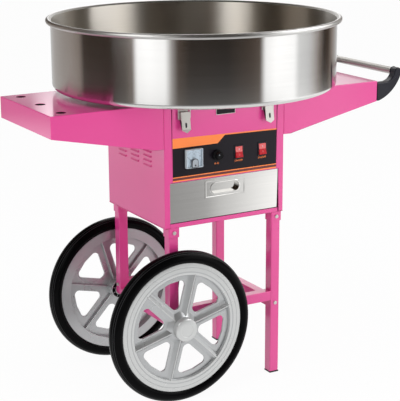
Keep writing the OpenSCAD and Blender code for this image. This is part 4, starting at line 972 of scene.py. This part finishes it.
# a row of boards: the height where it starts, how brown its gaps are, its levels by angle from the camera
boardRows = (
    (0.0, 0.0, ((-180, 0.7), (-130, 0.75), (-105, 0.7), (-60, 0.4), (20, 0.6), (42, 0.25), (47.5, 0.4),
        (53.4, 0.48), (54.2, 0.7), (57, 0.82), (62, 1.2), (66, 1.45), (90, 1.2), (180, 0.8))),
    (0.3, 0.0, ((-180, 1.3), (-150, 1.0), (-112, 0.85), (-109, 1.6), (-100, 1.6), (-80, 0.5), (-60, 0.3),
        (20, 0.35), (42, 0.45), (50, 0.7), (60, 0.8), (66, 1.2), (74, 1.6), (90, 1.5), (120, 1.2),
        (180, 1.3))),
    (0.48, 1.0, ((-180, 1.5), (-162, 1.3), (-148, 0.62), (-130, 0.48), (-98, 0.36), (-88, 0.28),
        (-83, 0.05), (-56, 0.04), (-47, 0.08), (-42, 0.2), (-39, 1.42), (-30, 1.56), (-20, 1.5), (-16, 0.5),
        (-12, 0.1), (-4, 0.03), (20, 0.02), (36, 0.07), (44, 0.12), (48, 1.42), (56, 1.6), (73, 1.42),
        (78, 0.84), (89, 0.7), (97, 0.45), (104, 0.18), (111, 0.04), (119, 0.07), (128, 0.3), (146, 0.6),
        (162, 1.2), (180, 1.5))),
    (0.97, 1.2, ((-180, 2.2), (-154, 1.8), (-152, 0.04), (-139, 0.03), (-126, 0.08), (-114, 0.28),
        (-100, 0.3), (-92, 0.03), (-74, 0.02), (-58.5, 0.06), (-56, 1.7), (-50, 2.3), (-40, 3.1),
        (-33, 3.0), (-27, 1.0), (-20, 0.2), (-12, 0.03), (56, 0.02), (58.5, 1.5), (64, 2.0), (75, 2.9),
        (90, 3.9), (108, 4.8), (110, 0.02), (130, 0.02), (136, 0.28), (144, 0.3), (151, 0.12), (154, 1.6),
        (180, 2.2))),
)


def seenDirectly(tree):  # camera, glossy and transmission rays
    path = addNode(tree, "ShaderNodeLightPath")
    both = calc(tree, "MAXIMUM", path.outputs["Is Camera Ray"], path.outputs["Is Glossy Ray"])
    return calc(tree, "MAXIMUM", both, path.outputs["Is Transmission Ray"])


def makeWorld():
    world = bpy.data.worlds.new("studio")
    scene.world = world
    world.use_nodes = True
    tree = world.node_tree
    back = tree.nodes["Background"]
    back.inputs["Color"].default_value = (1, 1, 1, 1)
    level = calc(tree, "MULTIPLY_ADD", seenDirectly(tree), 1 - studio["fill"], studio["fill"])
    wire(level, back.inputs["Strength"])


def makeFloor():
    bm = bmesh.new()
    bmesh.ops.create_grid(bm, x_segments=1, y_segments=1, size=studio["floor"] / 2)
    floor = addObject("floor", meshFrom("floor", bm))
    material, tree = newMaterial("paleFloor")
    surface = tree.nodes["Principled BSDF"]
    setInputs(surface, {"Base Color": (0.95, 0.95, 0.95, 1), "Roughness": 0.9, "Specular IOR Level": 0.0})
    glow = addNode(tree, "ShaderNodeEmission", {"Color": (1, 1, 1, 1), "Strength": 1.0})
    mixed = addNode(tree, "ShaderNodeMixShader")
    wire(calc(tree, "MULTIPLY", seenDirectly(tree), studio["glow"]), mixed.inputs[0])
    wire(surface.outputs[0], mixed.inputs[1])
    wire(glow.outputs[0], mixed.inputs[2])
    wire(mixed.outputs[0], tree.nodes["Material Output"].inputs["Surface"])
    floor.data.materials.append(material)


def boardRamp(tree, along, brown, levels):
    ramp = addNode(tree, "ShaderNodeValToRGB")
    stops = ramp.color_ramp.elements
    while len(stops) < len(levels):
        stops.new(0.5)
    for stop, (degrees, level) in zip(stops, levels):
        stop.position = (degrees + 180) / 360
    for stop, (degrees, level) in zip(stops, levels):
        warm = brown * max(0.0, 1 - level / studio["brownTo"])
        stop.color = (level, *(level * (1 - loss * warm) for loss in studio["brown"]), 1)
    wire(along, ramp.inputs["Fac"])
    return ramp.outputs["Color"]


def boardMaterial(name):
    material, tree = newMaterial(name)
    glow = addNode(tree, "ShaderNodeEmission", {"Strength": 1.0})
    wire(glow.outputs[0], tree.nodes["Material Output"].inputs["Surface"])
    return material, tree, glow.inputs["Color"]


def makeBoards():
    room = bmesh.new()
    bmesh.ops.create_circle(room, cap_ends=True, segments=96, radius=studio["wall"])
    room.faces[:][0].material_index = 1
    grown = bmesh.ops.extrude_edge_only(room, edges=room.edges[:])["geom"]
    for face in facesOf(grown):
        face.material_index = 0
    foot = set(vertsOf(grown))
    bmesh.ops.translate(room, vec=(0, 0, studio["wallHigh"]), verts=[v for v in room.verts if v not in foot])
    boards = addObject("boards", meshFrom("boards", room))
    material, tree, shown = boardMaterial("softBoards")
    place = addNode(tree, "ShaderNodeTexCoord").outputs["Object"]
    turn = (0, 0, -math.radians(studio["cameraAt"]))
    x, y, z = split(tree, mapped(tree, place, {"Rotation": turn}))
    angle = calc(tree, "ARCTAN2", y, x)
    along = calc(tree, "MULTIPLY_ADD", angle, 1 / math.tau, 0.5)
    shade = None
    for height, brown, levels in boardRows:
        row = boardRamp(tree, along, brown, levels)
        above = rampUp(tree, z, height - studio["rowBlend"] / 2, 1 / studio["rowBlend"])
        shade = row if shade is None else blendColour(tree, above, shade, row)
    wire(shade, shown)
    boards.data.materials.append(material)
    ceiling, tree, shown = boardMaterial("darkCeiling")
    shown.default_value = (*studio["ceiling"], 1)
    boards.data.materials.append(ceiling)
    boards.visible_camera = boards.visible_diffuse = False
    boards.visible_transmission = boards.visible_shadow = False


def areaLamp(name, place, target, size, watts):
    data = bpy.data.lights.new(name, "AREA")
    data.energy = watts
    data.size = size
    lamp = addObject(name, data)
    lamp.location = place
    lamp.rotation_euler = (Vector(target) - Vector(place)).to_track_quat("-Z", "Y").to_euler()
    lamp.visible_glossy = False


makeWorld()
makeFloor()
makeBoards()
areaLamp("key", (0.8, -2.8, 0.8), (0, 0, 0.5), 1.5, 25)
areaLamp("left", (-2.7, -0.9, 0.8), (0, 0, 0.5), 1.3, 15)
areaLamp("leftHigh", (-1.2, -0.6, 2.9), (-0.4, 0, 0.7), 1.2, 18)
areaLamp("right", (2.2, -0.6, 2.3), (0.25, 0, 0.65), 1.3, 14)
print("studio lit")
